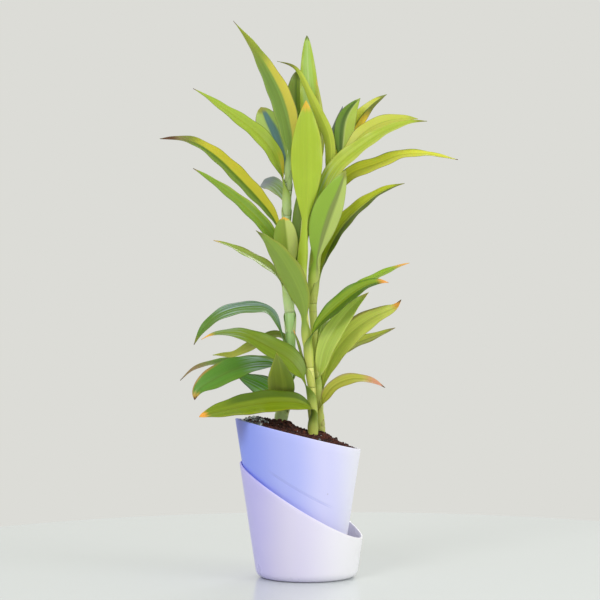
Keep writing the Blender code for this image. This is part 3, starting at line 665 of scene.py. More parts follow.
def leaf_tree():
    """Sweeps a blade along a midrib line whose points carry its cross direction, normal, width and fold."""
    tree, given = new_tree("leaf blade", Columns="Int", Thickness="Float", Wave="Float", WaveLength="Float",
                           Phase="Float", Skin="Material")
    midrib = given["Geometry"]
    rows = geo(tree, "AttributeDomainSize", {"Geometry": midrib}, "Point Count")
    grid = geo(tree, "MeshGrid", {"Size X": 1.0, "Size Y": 1.0, "Vertices X": given["Columns"],
                                  "Vertices Y": rows})
    index = geo(tree, "InputIndex")
    row = index.math("MODULO", rows)
    across = ((index + 0.5) / rows).math("FLOOR") / (given["Columns"] - 1.0) - 0.5
    along = row / (rows - 1.0)

    def at_row(name, kind="FLOAT"):
        value = read(tree, name, kind) if name else geo(tree, "InputPosition")
        return geo(tree, "SampleIndex", {"Geometry": midrib, "Value": value, "Index": row}, data_type=kind)

    middle, cross, upper = (at_row(name, "FLOAT_VECTOR") for name in (None, "cross", "upper"))
    width, fold, opened, reach = (at_row(name) for name in ("width", "fold", "open", "length"))
    angle, radius, edge = across * fold, width / fold, abs(across * 2.0)
    groove = (edge * width / 0.0042).bell() * opened * -0.00045
    swing = reach / given["WaveLength"] + (across.math("SIGN") * 0.21 + given["Phase"])
    swing = (swing * FULL_TURN).math("SINE") * (width / 0.012).math("MINIMUM", 1.0)
    ripple = swing * given["Wave"] * (edge ** 3.0 * opened)
    rise = groove + radius * (1.0 - angle.math("COSINE")) + ripple
    sideways = radius * angle.math("SINE")
    place = vector_math("ADD", middle, vector_math("ADD", scaled(cross, sideways), scaled(upper, rise)))
    skin = geo(tree, "SetPosition", {"Geometry": grid, "Position": place})
    skin = store(skin, "blade", node(tree, "CombineXYZ", {0: across + 0.5, 1: along}), "FLOAT_VECTOR")
    skin = store(store(skin, "span", width), "reach", reach)
    skin = store(skin, "thin", (1.0 - edge ** 6.0 * 0.6) * spread(reach, 0.0, 0.012, 0.15, 1.0))
    depth = read(tree, "thin") * given["Thickness"]
    raised = scaled(geo(tree, "InputNormal"), depth * 0.5)
    skin = geo(tree, "SetPosition", {"Geometry": skin, "Offset": raised})
    lower = geo(tree, "ExtrudeMesh", {"Mesh": skin, "Offset Scale": depth * -1.0, "Individual": False})
    lower = geo(tree, "FlipFaces", {"Mesh": store(lower, "under", lower.out("Top"), domain="FACE")})
    joined = geo(tree, "JoinGeometry", {0: skin})
    give(joined.socket.node, {0: lower})
    welded = geo(tree, "MergeByDistance", {"Geometry": joined, "Distance": 0.00001})
    return end_tree(tree, smoothed(welded), given["Skin"])


def smooth_step(value):
    value = min(max(value, 0.0), 1.0)
    return value * value * (3 - 2 * value)


def mix(start, end, share):
    return start + (end - start) * share


def unit(vector):
    return vector / np.linalg.norm(vector)


def cane_at(name, height):
    """Middle, radius and direction of a cane at a height."""
    points = spline_points(CANE_ROUTES[name], CANE_PROBE)
    here, above = (np.array([np.interp(z, points[:, 2], column) for column in points.T])
                   for z in (height, height + CANE_PROBE))
    return here[:3], here[3], unit((above - here)[:3])


class Leaf:
    """One leaf: where it clasps its cane, the route of its midrib, its blade, and its colouring.

    height and side are the clasp's height and its direction round the cane, in degrees from +X to the back.
    turn is the blade's roll after the clasp and at the tip: 0 shows its upper face to the front, 90 lies
    flat, 180 shows its underside. channel is the angle of its folded section, and look names its colouring.
    """

    def __init__(self, height, side, route, width, turn=(45, 60), stalk=0.12, peak=0.42, channel=35,
                 taper=0.85, clasp_length=CLASP_LENGTH, neck=5.0, look="lime", wave=0.5, **colours):
        self.height, self.side, self.route = height, math.radians(side), route
        self.width, self.turn = width, [math.radians(angle) for angle in turn]
        self.stalk, self.peak, self.taper, self.neck = stalk, peak, taper, neck
        self.channel, self.clasp_length = math.radians(channel), clasp_length
        self.look, self.wave, self.colours = look, wave, colours

    def blade_width(self, t, base):
        share = (t - self.stalk) / (1 - self.stalk)
        body = 0.0
        if 0 < share < 1:
            bend = math.log(0.5) / math.log(self.peak)
            body = self.width * math.sin(math.pi * share**bend) ** self.taper
        narrow = mix(base, self.neck, smooth_step(t / max(self.stalk, 0.1))) * (1 - max(share, 0))
        return max(math.hypot(body, narrow), TIP_WIDTH)

    def line(self, name, cane):
        """The midrib as a mesh line whose points carry the blade's section."""
        out = np.array((math.cos(self.side), math.sin(self.side), 0))
        clasp = []
        for share in (0.0, 0.5, 1.0):
            middle, radius, _ = cane_at(cane, self.height + self.clasp_length * share)
            clasp.append(middle + out * (radius + CLASP_GAP + CAD_BLADE_THICKNESS / 2))
        reach = max(np.linalg.norm(clasp[0] - cane_at(cane, self.height)[0]), LEAST_REACH)
        points = spline_points(clasp + [np.array(point, float) for point in self.route], LEAF_STEP)
        hand = 1 if points[-1][0] < points[0][0] else -1
        rows = []
        for back in np.arange(SHEATH_LENGTH, 0, -SHEATH_STEP):  # the sheath, rolled round the cane
            share = back / SHEATH_LENGTH
            middle, radius, along = cane_at(cane, self.height - back)
            around = mix(reach, radius + SHEATH_GAP, share)
            normal = unit(-out + along * out.dot(along))
            fold = mix(BASE_ARC, SHEATH_ARC, share)
            rows.append((middle + out * around, np.cross(along, normal), normal, around * fold, fold, 0))
        for index, point in enumerate(points):
            t = index / (len(points) - 1)
            along = unit(points[min(index + 1, len(points) - 1)] - points[max(index - 1, 0)])
            face = unit(FRONT - along * FRONT.dot(along))
            roll = mix(self.turn[0], self.turn[1], t)
            wanted = face * math.cos(roll) + np.cross(along, face) * hand * math.sin(roll)
            ease = smooth_step(t / TURN_LENGTH) if self.route else 0.0
            normal = mix(-out, wanted, ease)
            normal = unit(normal - along * normal.dot(along))
            fold = mix(BASE_ARC, self.channel, smooth_step(t / max(self.stalk, 0.2)))
            rows.append((point, np.cross(along, normal), normal, self.blade_width(t, reach * BASE_ARC), fold,
                         smooth_step((t - OPEN_FROM) / OPEN_LENGTH)))
        middle, cross, upper, width, fold, opened = (np.array(column) for column in zip(*rows))
        return add_line(name, middle, {"cross": cross, "upper": upper, "width": width * MM, "fold": fold,
                                       "open": opened, "length": run_lengths(middle) * MM})


LEAF_LOOKS = {  # colours of the blade, its two sides, its midrib and its tip
    "lime": ((167, 176, 32), (190, 191, 58), (190, 191, 58), (147, 160, 27), (202, 176, 76)),
    "fresh": ((175, 185, 40), (198, 199, 66), (194, 195, 58), (160, 174, 42), (148, 149, 58)),
    "mid": ((127, 147, 37), (151, 160, 42), (142, 157, 40), (116, 138, 54), (190, 160, 60)),
    "olive": ((130, 143, 17), (108, 122, 10), (150, 155, 25), (112, 124, 10), (230, 158, 76)),
    "dark": ((79, 105, 25), (77, 117, 26), (97, 115, 36), (100, 124, 46), (147, 124, 60)),
    "blue": ((102, 124, 93), (194, 195, 90), (194, 195, 90), (70, 112, 104), (152, 153, 69)),
    "gold": ((130, 143, 29), (157, 160, 42), (223, 191, 66), (102, 126, 27), (168, 132, 62)),
    "pale": ((181, 185, 58), (196, 197, 76), (198, 199, 77), (169, 178, 71), (186, 172, 90)),
    "grey": ((129, 134, 54), (156, 157, 67), (152, 153, 67), (107, 118, 54), (147, 134, 84)),
    "straw": ((174, 160, 92), (157, 143, 80), (186, 172, 118), (147, 132, 66), (146, 110, 60)),
}
CANE_FOOT_COLOURS = {"cane_left": (208, 236, 166), "cane_middle": (220, 226, 106),
                     "cane_right": (200, 210, 98)}
EDGE_BROWN = srgb(86, 70, 38)
DEAD_BROWN = srgb(98, 62, 38)
UNDERSIDE_GREEN = srgb(150, 178, 104)
# Colour of the painted sheen: pale streaks standing for light reflected by the waxy blade.
PAINTED_SHEEN_COLOUR = srgb(176, 196, 196)
VEINS_PER_METRE = 800.0


def leaf_skin(name, body, low, high, rib, tip, foot, low_margin=0.1, high_margin=0.1, low_span=(0.0, 1.0),
              high_span=(0.0, 1.0), streaks=0.35, rib_share=0.4, tip_length=0.05, dead=0.0, painted_sheen=0.0,
              painted_sheen_span=(0.0, 1.0), edge_line=0.35, rough=0.36):
    """Waxy leaf skin: margins of other colours, streaks and parallel veins along it, pale streaks of painted
    sheen, and a tip that dries.

    A margin is a share of the width, and its span the part of the length where it shows. On some leaves a
    margin is the blade's own edging, on others painted shade or painted light on one half of the folded blade.
    """
    body, low, high, rib, tip, foot = (srgb(*colour) for colour in (body, low, high, rib, tip, foot))
    darker = tuple(v * 0.5 for v in body)
    lighter = tuple(min(1.0, v * 1.3 + 0.015) for v in body)
    material, shader = new_material(name)
    across, along, _ = attribute(shader, "blade", "Vector").axes()
    reach, span, under = (attribute(shader, label) for label in ("reach", "span", "under"))
    lane = across - 0.5

    def lengthwise(lanes, waves, detail):
        """Streaks along the blade. The lanes draw together towards its ends, but never crowd."""
        fan = span * (lanes * 37.5) + lanes * 0.25
        return noise(node(shader.id_data, "CombineXYZ", {0: lane * fan, 1: reach * waves}), 1.0, detail)

    def window(start, end):
        return spread(along, start - 0.1, start + 0.05) * spread(along, end + 0.1, end - 0.05)

    streak, broad = lengthwise(34.0, 9.0, 3.0), lengthwise(9.0, 6.0, 1.0)
    cloud = noise(object_place(shader), 35.0, 3.0)
    drift = (streak - 0.5) * 0.06 + ((cloud - 0.5) * 0.09 + across)
    wander = (cloud - 0.5) * 1.5 + lane * (span * VEINS_PER_METRE)
    veins = (wander * FULL_TURN).math("SINE") * 0.5 + 0.5
    groove = (lane * 16.0).bell()
    ragged = (broad - 0.5) * 0.08 + along
    coats = [
        (spread(broad, 0.4, 0.66, 0.0, streaks), lighter),
        (spread(streak, 0.46, 0.68, 0.0, streaks), darker),
        (spread(cloud, 0.5, 0.75, 0.0, 0.22), lighter),
        (groove * rib_share, rib),
        (spread(drift, low_margin + 0.05, low_margin - 0.05) * window(*low_span), low),
        (spread(drift, 0.95 - high_margin, 1.05 - high_margin) * window(*high_span), high),
        (veins * 0.12, darker),
    ]
    # Painted sheen: pale blue grey streaks where a reflection of the light would lie.
    if painted_sheen:
        sheen = spread(lengthwise(14.0, 16.0, 4.0), 0.45, 0.62, 0.0, painted_sheen)
        coats.append((sheen * window(*painted_sheen_span), PAINTED_SHEEN_COLOUR))
    coats += [
        (spread(reach, 0.006, 0.03, 0.85, 0.0), foot),
        (under * 0.22, UNDERSIDE_GREEN),
        (spread(abs(lane * 2.0), 0.93, 0.985) * edge_line, EDGE_BROWN),
        (spread(ragged, 1 - tip_length * 1.5, 1 - tip_length * 0.5), tip),
    ]
    if dead:
        coats.append((spread(ragged, 1 - dead * 1.3, 1 - dead * 0.7), DEAD_BROWN))
    give(shader, {
        "Base Color": coated(body, *coats),
        "Normal": bump(groove * -0.5 + veins * 0.3, 0.3, 0.00016),
        "Roughness": spread(cloud, 0.3, 0.7, rough - 0.04, rough + 0.1),
        "Specular IOR Level": 0.35, "Subsurface Weight": 0.2, "Subsurface Radius": (0.6, 1.0, 0.2),
        "Subsurface Scale": 0.002})
    return material


sweep_blade = leaf_tree()


def dress_leaf(leaf, cane, node_name, name, number):
    """Makes the blade or sheath that stands for a CAD node. number sets where its waves start."""
    colours = dict(zip(("body", "low", "high", "rib", "tip"), LEAF_LOOKS[leaf.look]), **leaf.colours)
    skin = leaf_skin("skin of " + node_name.replace("_", " "), foot=CANE_FOOT_COLOURS[cane], **colours)
    line = leaf.line(node_name + "_midrib", cane)
    piece = grow(line, sweep_blade, name, Columns=LEAF_COLUMNS + 1, Thickness=LEAF_THICKNESS * MM,
                 Wave=leaf.wave * MM, WaveLength=WAVE_LENGTH * MM, Phase=number * WAVE_SHIFT, Skin=skin)
    bpy.data.objects.remove(line)
    finish_piece(piece, node_name)


LEFT_LEAVES = {  # by number, from the lowest up
    1: Leaf(141, 255, [(-22, -4, 157), (-22.5, -15, 168), (-24, -28, 181), (-26, -37, 197)], 24, (175, 165),
        0.08, 0.4, 40, 1.0, look="olive", low_margin=0.3, tip_length=0.03, body=(125, 136, 16),
        tip=(137, 143, 32)),
    2: Leaf(146, 155, [(-28, 11.5, 158), (-37, 13, 164.5), (-49, 15, 170.5), (-62, 16, 176)], 24, (32, 45),
        0.1, look="dark", edge_line=0.5, painted_sheen=0.55, body=(127, 183, 62), low=(102, 139, 92)),
    3: Leaf(160, 60, [(-16, 19, 172), (-20, 31, 183), (-26, 47, 192), (-33, 62, 193)], 20, (10, 30), 0.12,
        look="mid"),
    4: Leaf(168, 195, [(-26, 6, 184.5), (-33, 5, 186.5), (-46, 3, 186), (-59, 0, 183.5), (-73, -4, 177.5),
        (-84, -7, 171.5), (-91.5, -9, 167), (-96.5, -11, 162), (-98, -12, 155)], 26, (42, 35), 0.12, 0.58,
        35, 0.8, look="dark", dead=0.02, low_margin=0.2, high=(176, 136, 70), high_margin=0.08,
        high_span=(0.75, 1.0), painted_sheen_span=(0.0, 0.5), painted_sheen=0.9, low=(96, 141, 34), tip=(188, 152, 60),
        tip_length=0.05, body=(88, 139, 34)),
    5: Leaf(178, 120, [(-24, 20, 190), (-38, 26, 191), (-54, 31, 189.5), (-72, 34, 188), (-87, 35, 186.5),
        (-98, 35, 183.5), (-106, 35, 179), (-114, 35, 171)], 11, (60, 60), 0.1, 0.45, look="grey",
        dead=0.02, body=(110, 145, 58), low=(118, 149, 59), high=(127, 155, 67), tip=(147, 122, 84),
        tip_length=0.2),
    # Its bluish grey margin along the middle of the blade is painted sheen on the crest.
    6: Leaf(190, 212, [(-20.5, 4.5, 209), (-25.5, 4, 222), (-30, 4, 231), (-37, 3.5, 235.5), (-47, 3, 236),
        (-60, 2, 235), (-73, 1, 231.5), (-84, 0, 224.5), (-93, -1, 215), (-99.5, -1, 203)], 16, (50, 45),
        0.2, 0.5, look="dark", high_margin=0.36, tip=(122, 126, 35), dead=0.01, high_span=(0.34, 0.72),
        body=(90, 130, 34), low=(100, 136, 40), high=(100, 128, 104), painted_sheen=0.6, painted_sheen_span=(0.38, 0.74)),
    7: Leaf(196, 98, [(-19, 17, 210), (-26, 21, 213), (-34, 22, 210.5), (-46, 23, 203.5), (-55, 24, 199),
        (-66, 25, 193), (-75, 25, 194.5), (-84, 25, 194)], 12, (50, 45), 0.12, 0.45, look="olive",
        tip=(176, 180, 70), tip_length=0.3, streaks=0.6, body=(110, 124, 30), low=(137, 145, 44),
        high=(106, 118, 34)),
    8: Leaf(228, 80, [(-13.5, 18, 243), (-11, 30, 262), (-8, 44, 279), (-5, 58, 290)], 20, (5, 10), 0.12,
        look="mid"),
    9: Leaf(246, 180, [(-23, 9, 262), (-31, 10, 270.5), (-43, 11, 278.5), (-56, 12, 285), (-69, 12, 292),
        (-82.5, 12, 296)], 14, (58, 62), 0.1, look="grey", tip=(192, 162, 76), low=(157, 180, 92),
        body=(157, 176, 76)),
    10: Leaf(253, 280, [(-16.5, -1, 271), (-17.8, -5, 286), (-19.3, -8, 300), (-20, -9, 315)], 22,
        (172, 170), 0.14, 0.62, 40, 0.55, look="olive", tip=(228, 178, 60), tip_length=0.025,
        high_margin=0.34, body=(147, 164, 44), low_margin=0.42, high=(141, 164, 40), low=(202, 212, 114)),
    11: Leaf(270, 212, [(-24.5, 6, 287), (-29.5, 6, 298), (-38, 5, 309), (-50, 2, 321.5), (-63, -1, 332.5),
        (-78, -4, 343.5), (-90.5, -7, 352.5), (-99.5, -8, 358)], 15.5, (38, 45), 0.1, 0.38, look="lime",
        edge_line=0.5, tip_length=0.03, tip=(147, 134, 70), dead=0.012, body=(127, 159, 44),
        low=(118, 151, 48), high=(159, 176, 60)),
    # Its yellow upper half is painted light on the side of the fold that the lamps reach; the green lower half
    # is its own colour.
    12: Leaf(290, 150, [(-25.5, 13, 308), (-34, 15, 323), (-48, 16, 337.5), (-63, 17, 353.5),
        (-81, 17, 371), (-97, 17, 382.5), (-111, 17, 387), (-131, 17, 387)], 22, (42, 52), 0.1, 0.42, 70,
        look="gold", edge_line=0.5, tip_length=0.14, tip=(137, 124, 76), dead=0.08, high_margin=0.42,
        low=(123, 155, 50), low_margin=0.36, high=(215, 205, 62), high_span=(0.06, 0.8),
        body=(102, 136, 34)),
    13: Leaf(322, 112, [(-20.5, 17, 336), (-27, 30, 345), (-35, 47, 350.5), (-41, 63, 351.5)], 16, (15, 25),
        0.12, 0.55, 35, 0.5, look="grey", body=(125, 151, 67), tip=(112, 124, 128), tip_length=0.28,
        painted_sheen=0.45),
    14: Leaf(332, 222, [(-21, 3, 348), (-24, 0, 360), (-29, -2, 373), (-40, -5, 386.5), (-54, -7, 397.5),
        (-72, -9, 409.5), (-89, -10, 422), (-99.5, -10, 428)], 17.5, (28, 45), 0.1, 0.38, 35, 1.0,
        look="lime", edge_line=0.55, tip_length=0.03, dead=0.012, streaks=0.25, tip=(161, 164, 56),
        body=(159, 181, 58), low=(155, 178, 56), high=(218, 195, 64), high_margin=0.34,
        high_span=(0.12, 0.34)),
    15: Leaf(344, 100, [(-18.5, 16, 361), (-24.5, 21, 379), (-33.5, 27, 399), (-41, 31, 417)], 28, (10, 20),
        0.12, 0.62, 35, 0.65, look="blue", body=(88, 126, 130), low=(176, 197, 104), high=(161, 185, 88),
        edge_line=0.9, rib_share=0.0, low_margin=0.45, high_margin=0.3),
    16: Leaf(354, 30, [(-10.5, 14, 373), (-9.5, 17, 392), (-9.5, 19, 412), (-9.7, 22, 430),
        (-9.5, 24, 448)], 21, (165, 165), 0.12, 0.55, 35, 0.65, look="dark", low=(139, 147, 30),
        high=(91, 103, 18), body=(114, 130, 16), rib=(65, 88, 11), rib_share=0.8, tip=(94, 105, 32)),
    17: Leaf(361, 285, [(-14, 1, 380), (-17.5, -2, 398), (-23, -4, 420), (-35.5, -7, 444.5),
        (-47.5, -9, 466), (-56, -10, 477), (-64, -11, 487)], 24, (150, 140), 0.1, 0.32, 50, 1.2,
        look="gold", low_margin=0.34, low_span=(0.15, 0.72), streaks=0.6, edge_line=0.6,
        high=(145, 168, 64), body=(118, 149, 51), tip=(149, 159, 53), tip_length=0.24, dead=0.02,
        low=(221, 202, 64)),
}
MIDDLE_LEAVES = {
    1: Leaf(130, 280, [(7, -13, 144), (2, -17, 150), (-7, -20, 153.5), (-19, -23, 154.5), (-34, -28, 153.5),
        (-49, -32, 151.5), (-65, -37, 148.5), (-79, -41, 145.5), (-92, -44, 142)], 26, (38, 48), 0.14, 0.48,
        35, 0.62, look="olive", edge_line=0.5, rough=0.28, high_margin=0.3, tip=(242, 166, 66),
        body=(118, 139, 12), low=(135, 149, 18), high=(82, 107, 10), high_span=(0.0, 0.78),
        tip_length=0.045),
    2: Leaf(150, 235, [(-0.5, -13.5, 166), (-4.5, -15, 178), (-11.5, -17, 188), (-22, -18, 195.5),
        (-34, -20, 202), (-45.5, -24, 208), (-56, -27, 212.5), (-67, -29, 213.5), (-77, -30, 213.5),
        (-85, -31, 211.5), (-91, -32, 208)], 25, (35, 50), 0.2, 0.26, 35, 1.1, look="olive", streaks=0.4,
        tip=(238, 176, 64), tip_length=0.06, painted_sheen=0.5, painted_sheen_span=(0.8, 0.92), body=(114, 138, 20),
        low=(120, 143, 24), high=(102, 128, 22)),
    3: Leaf(180, 172, [(-5.4, -4.5, 195), (-7.6, -4, 205), (-11, -3.5, 216)], 6, (110, 110), 0.1,
        look="olive"),
    4: Leaf(198, 305, [(5.5, -12.5, 215), (12, -14.5, 224.5), (23.5, -16.5, 235), (38, -18, 247.5),
        (51, -19, 255.5), (62.5, -20, 258.5), (71, -20, 257.5)], 19, (42, 50), 0.14, 0.5, look="olive",
        tip_length=0.06, body=(129, 157, 27), low=(98, 134, 27), low_margin=0.12, high=(76, 107, 10),
        high_margin=0.4),
    5: Leaf(211, 250, [(-2.4, -13, 232), (-6.6, -16, 248), (-14.6, -18, 264.5), (-23, -20, 279),
        (-31.5, -21, 290.5), (-37.5, -21, 297), (-44, -20.5, 302.5)], 26, (150, 140), 0.14, 0.45, 35, 1.05,
        look="mid", body=(137, 162, 50), rib_share=0.1, streaks=0.25, tip=(120, 126, 60)),
    6: Leaf(252, 140, [(-8.8, 4.5, 273), (-8.8, 5, 294), (-8.5, 5, 316), (-7.5, 6, 339)], 11, (160, 160),
        0.15, 0.5, 40, look="dark", body=(102, 122, 32)),
    7: Leaf(262, 270, [(-3, -12, 286), (-2, -13, 304), (-1, -14.5, 326), (0, -16, 347), (0, -17.5, 367),
        (0, -18.5, 390), (-0.6, -19, 416)], 28, (178, 178), 0.31, 0.53, 30, 0.85, look="lime",
        low_margin=0.05, high_margin=0.05, streaks=0.14, edge_line=0.15, rib_share=0.12, tip_length=0.045,
        tip=(222, 182, 60), body=(172, 194, 12), low=(188, 201, 40), high=(186, 201, 36)),
    8: Leaf(292, 58, [(3.8, 4.6, 309), (5.3, 16, 327), (6.3, 32, 344), (8.3, 48, 354)], 17, (5, 5), 0.16,
        look="mid"),
    9: Leaf(340, 8, [(10, 0, 364), (12.3, 3, 388), (11.3, 5, 412), (8.5, 6, 439)], 9, (165, 165), 0.12,
        look="lime", body=(172, 174, 46)),
    10: Leaf(345, 105, [(3.5, 4, 366), (3.6, 9, 392), (3, 13, 420), (1, 16, 448), (0.3, 17, 479)], 18,
        (175, 178), 0.12, 0.44, 40, 0.58, look="pale", streaks=0.45, body=(165, 195, 85),
        rib=(192, 212, 138), rib_share=0.8, low=(171, 191, 48), high=(171, 191, 48), low_margin=0.22,
        high_margin=0.2, tip=(102, 115, 48), tip_length=0.02),
}
RIGHT_LEAVES = {
    1: Leaf(139, 300, [(14.5, -3.5, 155), (22, -6, 166.5), (33, -7, 172), (43, -7, 174), (52, -8, 173),
        (60, -9, 171), (68.5, -10, 166)], 15, (45, 55), 0.12, 0.4, look="olive", dead=0.03,
        low=(172, 157, 96), tip=(206, 146, 116), tip_length=0.16, body=(178, 178, 68), high=(172, 168, 60)),
    2: Leaf(152, 20, [(15, 5.5, 170), (19, 5.5, 184.5), (27.5, 5, 200), (39, 4, 213), (50, 3.5, 222),
        (62, 3, 229), (72, 2, 233), (79, 2, 236.5), (83, 2, 243)], 24, (30, 40), 0.1, 0.5, look="pale",
        tip=(232, 160, 60), edge_line=0.5, dead=0.02, tip_length=0.06, low=(147, 132, 70), low_margin=0.1,
        low_span=(0.35, 0.85), body=(204, 212, 98), high=(200, 206, 96)),
    3: Leaf(162, 285, [(12, -6, 178), (14.5, -9, 196), (21, -10, 211), (30.5, -10, 225), (41.5, -9, 238),
        (54, -10, 249)], 19, (22, 32), 0.14, 0.45, look="pale", edge_line=0.12, rib=(172, 187, 74),
        body=(180, 200, 92), low=(192, 210, 102), high=(194, 210, 102)),
    4: Leaf(173, 105, [(12.5, 15, 182), (21, 21, 190.5), (37, 25, 201), (51, 27, 207), (64, 29, 211.5),
        (79.5, 30, 218.5)], 14, (52, 55), 0.12, 0.5, look="grey", body=(182, 187, 74), low=(172, 178, 72),
        high=(147, 143, 67)),
    5: Leaf(188, 100, [(9, 14, 202), (14, 28, 217), (20, 44, 227), (27, 60, 229)], 19, (8, 15), 0.12,
        look="mid"),
    6: Leaf(204, 40, [(12.5, 11, 222), (25, 16, 239), (44, 20, 253.5), (64, 23, 265), (76, 24, 270.5),
        (85, 24, 274.5), (92, 24, 276.5)], 14, (55, 60), 0.12, 0.5, look="mid", tip_length=0.08,
        body=(149, 180, 50), low=(147, 178, 51), high=(161, 187, 67), tip=(232, 170, 84)),
    7: Leaf(254, 10, [(14, 5, 272), (17.5, 5, 287), (25.5, 4, 302), (36, 3, 315.5), (49, 2, 327),
        (61, 1, 336), (73, 0, 342), (86, -1, 345.5)], 20, (42, 55), 0.12, 0.4, look="lime",
        high=(88, 107, 18), high_margin=0.36, edge_line=0.45, tip=(133, 134, 42), body=(180, 189, 46)),
    8: Leaf(262, 282, [(8.5, -6, 281), (11, -11, 296), (15, -14.5, 311), (20.5, -17, 326), (27, -18.5, 340),
        (34, -19, 355)], 26, (170, 170), 0.16, 0.5, 30, look="lime", edge_line=0.2, body=(125, 134, 62),
        low=(188, 204, 106), low_margin=0.3, high=(141, 178, 36), high_margin=0.52, rib=(106, 115, 56),
        rib_share=0.4, tip=(147, 153, 70)),
    9: Leaf(290, 110, [(10, 17, 306), (14, 31, 321), (19, 46, 333), (25, 60, 338)], 19, (8, 12), 0.12,
        look="mid"),
    # Its pale patch is painted sheen.
    10: Leaf(270, 235, [(5.6, -1, 288), (9, -3, 306), (12, -5, 324), (15.5, -7, 342), (26, -10, 360),
        (39.5, -12.5, 371), (54, -14.5, 381.5), (68.5, -15.5, 390), (83, -16, 396), (95, -16, 398.5),
        (105, -16, 398.5)], 18, (22, 48), 0.3, 0.34, look="fresh", tip=(133, 134, 42), low=(184, 199, 74),
        edge_line=0.06, painted_sheen_span=(0.2, 0.5), body=(174, 193, 58), high=(188, 199, 84), high_margin=0.2,
        painted_sheen=0.4),
    11: Leaf(320, 5, [(26.5, 4.5, 339), (33, 4, 350), (43, 3, 356.5), (56, 2, 360.5), (69, 1, 365),
        (80, 0, 370.5), (93, -1, 371.5), (105, -2, 371.5), (117, -3, 369.5), (126, -4, 367.5),
        (133, -5, 366)], 17, (32, 55), 0.1, 0.3, look="gold", rib=(161, 162, 38), high_margin=0.2,
        edge_line=0.7, tip=(196, 197, 67), tip_length=0.04, dead=0.012, low=(120, 128, 56), low_margin=0.04,
        body=(210, 212, 66), high=(210, 212, 74)),
    12: Leaf(330, 232, [(19, -0.5, 350), (21, -1.5, 367), (20.5, -2.5, 384), (15.5, -3, 396.5),
        (10, -3, 408), (4.5, -3, 420), (-1.5, -2, 433), (-5, -2, 441), (-10, -2, 448), (-17, -2, 451),
        (-26, -2, 453)], 9.5, (165, 150), 0.1, 0.35, look="fresh", body=(188, 199, 46), low=(192, 201, 61),
        high=(186, 197, 53), tip=(118, 118, 53), tip_length=0.1),
    # Its dark grey green lower half near the base is painted shade under the leaf above.
    13: Leaf(338, 318, [(29, -5.4, 356), (36, -5.0, 373), (45.5, -4.0, 387), (58.5, -2.5, 396.5),
        (73, -3, 401.5), (86.5, -4, 402.5), (98, -4, 402)], 15, (25, 40), 0.14, 0.55, look="gold",
        edge_line=0.7, tip=(172, 178, 72), low=(196, 201, 78), low_margin=0.5, body=(192, 197, 74),
        high=(84, 101, 66), high_margin=0.74, high_span=(0.0, 0.4)),
    14: Leaf(342, 125, [(21, 14, 361), (24, 22, 380), (27.5, 28, 398), (32.5, 33, 418)], 12, (8, 8), 0.12,
        look="mid", body=(106, 114, 112), low=(120, 128, 116), high=(110, 118, 108), edge_line=0.9,
        tip=(104, 108, 124)),
    15: Leaf(351, 95, [(29, 15, 367), (34.5, 17.5, 382), (42.5, 19, 397), (50, 20, 408.5), (59.5, 20, 419),
        (71.5, 20, 427)], 17, (20, 35), 0.1, 0.46, 60, look="gold", edge_line=0.6, tip=(125, 132, 56),
        low=(202, 206, 72), low_margin=0.42, body=(116, 122, 34), high=(255, 214, 56), high_margin=0.5,
        high_span=(0.0, 0.74)),
    # Its dark middle is painted shade in the fold's groove, and its pale rib a painted highlight.
    16: Leaf(354, 297, [(31.4, -0.4, 372), (33, 2.6, 386), (34.3, 7, 399), (38.5, 9, 411),
        (47.5, 9.5, 422)], 19, (10, 20), 0.16, 0.5, 45, look="dark", edge_line=0.5, low_margin=0.25,
        high=(176, 197, 78), high_margin=0.5, rib=(196, 208, 117), rib_share=0.6, tip=(147, 162, 80),
        tip_length=0.03, low=(102, 134, 40), body=(74, 103, 26)),
}
SHEATHS = {  # what is left of old leaves, pressed against the canes
    "left": Leaf(141, 0, [], 6, channel=90, clasp_length=15, look="straw"),
    "right": Leaf(130.5, 320, [], 5, channel=90, clasp_length=7, look="straw"),
}

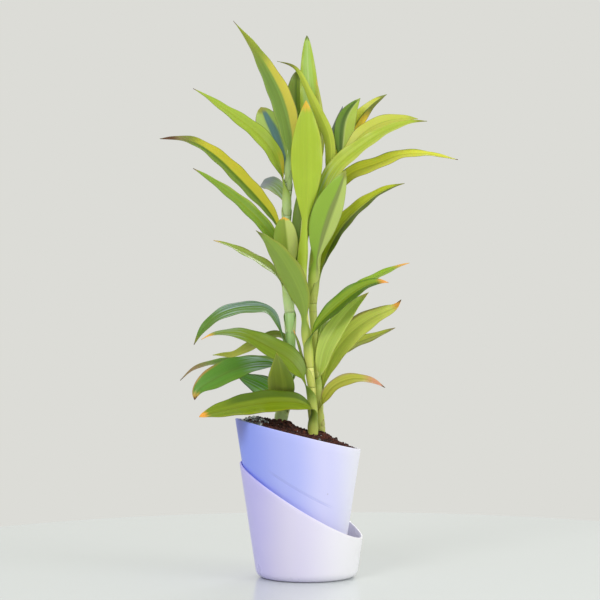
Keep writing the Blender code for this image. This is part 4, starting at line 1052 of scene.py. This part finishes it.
for side, leaves in (("left", LEFT_LEAVES), ("middle", MIDDLE_LEAVES), ("right", RIGHT_LEAVES)):
    for number, leaf in leaves.items():
        ending = f"{side}_{number:02d}"
        dress_leaf(leaf, "cane_" + side, "leaf_" + ending, "blade_" + ending, number - 1)
for number, (side, sheath) in enumerate(SHEATHS.items()):
    dress_leaf(sheath, "cane_" + side, "sheath_" + side, "husk_" + side, number)

# Floor, light and camera. A round white table top, a pale room and soft studio lamps, seen from table height
# at the photo's angle.
TABLE_MIDDLE, TABLE_RADIUS, TABLE_THICKNESS = (30, 55), 500, 20
TABLE_SIDES = 128
CAMERA_PLACE = (-0.0059, -1.5, 0.209)
CAMERA_AIM = (-0.0059, 0.0, 0.2424)
CAMERA_LENS = 102.3
CAMERA_SENSOR = 36
LAMPS = (  # name, place, aim, size in metres, power in watts and colour
    ("key", (-0.9, -1.6, 1.5), (0, 0, 0.25), 0.8, 15, (1.0, 0.98, 0.95)),
    ("fill", (1.4, -0.9, 0.7), (0, 0, 0.2), 1.0, 10, (0.98, 0.98, 1.0)),
    ("back", (0.4, 1.5, 1.3), (0, 0, 0.3), 0.8, 8, (1.0, 1.0, 1.0)),
)
ROOM_COLOUR = (220, 220, 215)

table_top, top_shader = new_material("white table top")
give(top_shader, {"Base Color": (*srgb(214, 220, 220), 1), "Roughness": 0.16})
table_rings = [round_ring(*TABLE_MIDDLE, z, TABLE_RADIUS, TABLE_SIDES) for z in (-TABLE_THICKNESS, 0)]
add_mesh("floor", *closed_skin(table_rings), table_top, smooth=False)


def aim_object(holder, place, aim):
    holder.location = place
    holder.rotation_euler = (Vector(aim) - Vector(place)).to_track_quat("-Z", "Y").to_euler()


for name, place, aim, size, power, colour in LAMPS:
    lamp = bpy.data.lights.new(name, "AREA")
    lamp.shape, lamp.size, lamp.energy, lamp.color = "DISK", size, power, colour
    aim_object(add_object(name, lamp), place, aim)

room = bpy.data.worlds.new("room")
room.use_nodes = True
give(room.node_tree.nodes["Background"], {"Color": (*srgb(*ROOM_COLOUR), 1), "Strength": 1.0})
bpy.context.scene.world = room
bpy.context.scene.view_settings.view_transform = "Standard"

camera = add_object("camera", bpy.data.cameras.new("camera"))
camera.data.sensor_width = CAMERA_SENSOR
camera.data.lens = CAMERA_LENS
aim_object(camera, CAMERA_PLACE, CAMERA_AIM)
bpy.context.scene.camera = camera
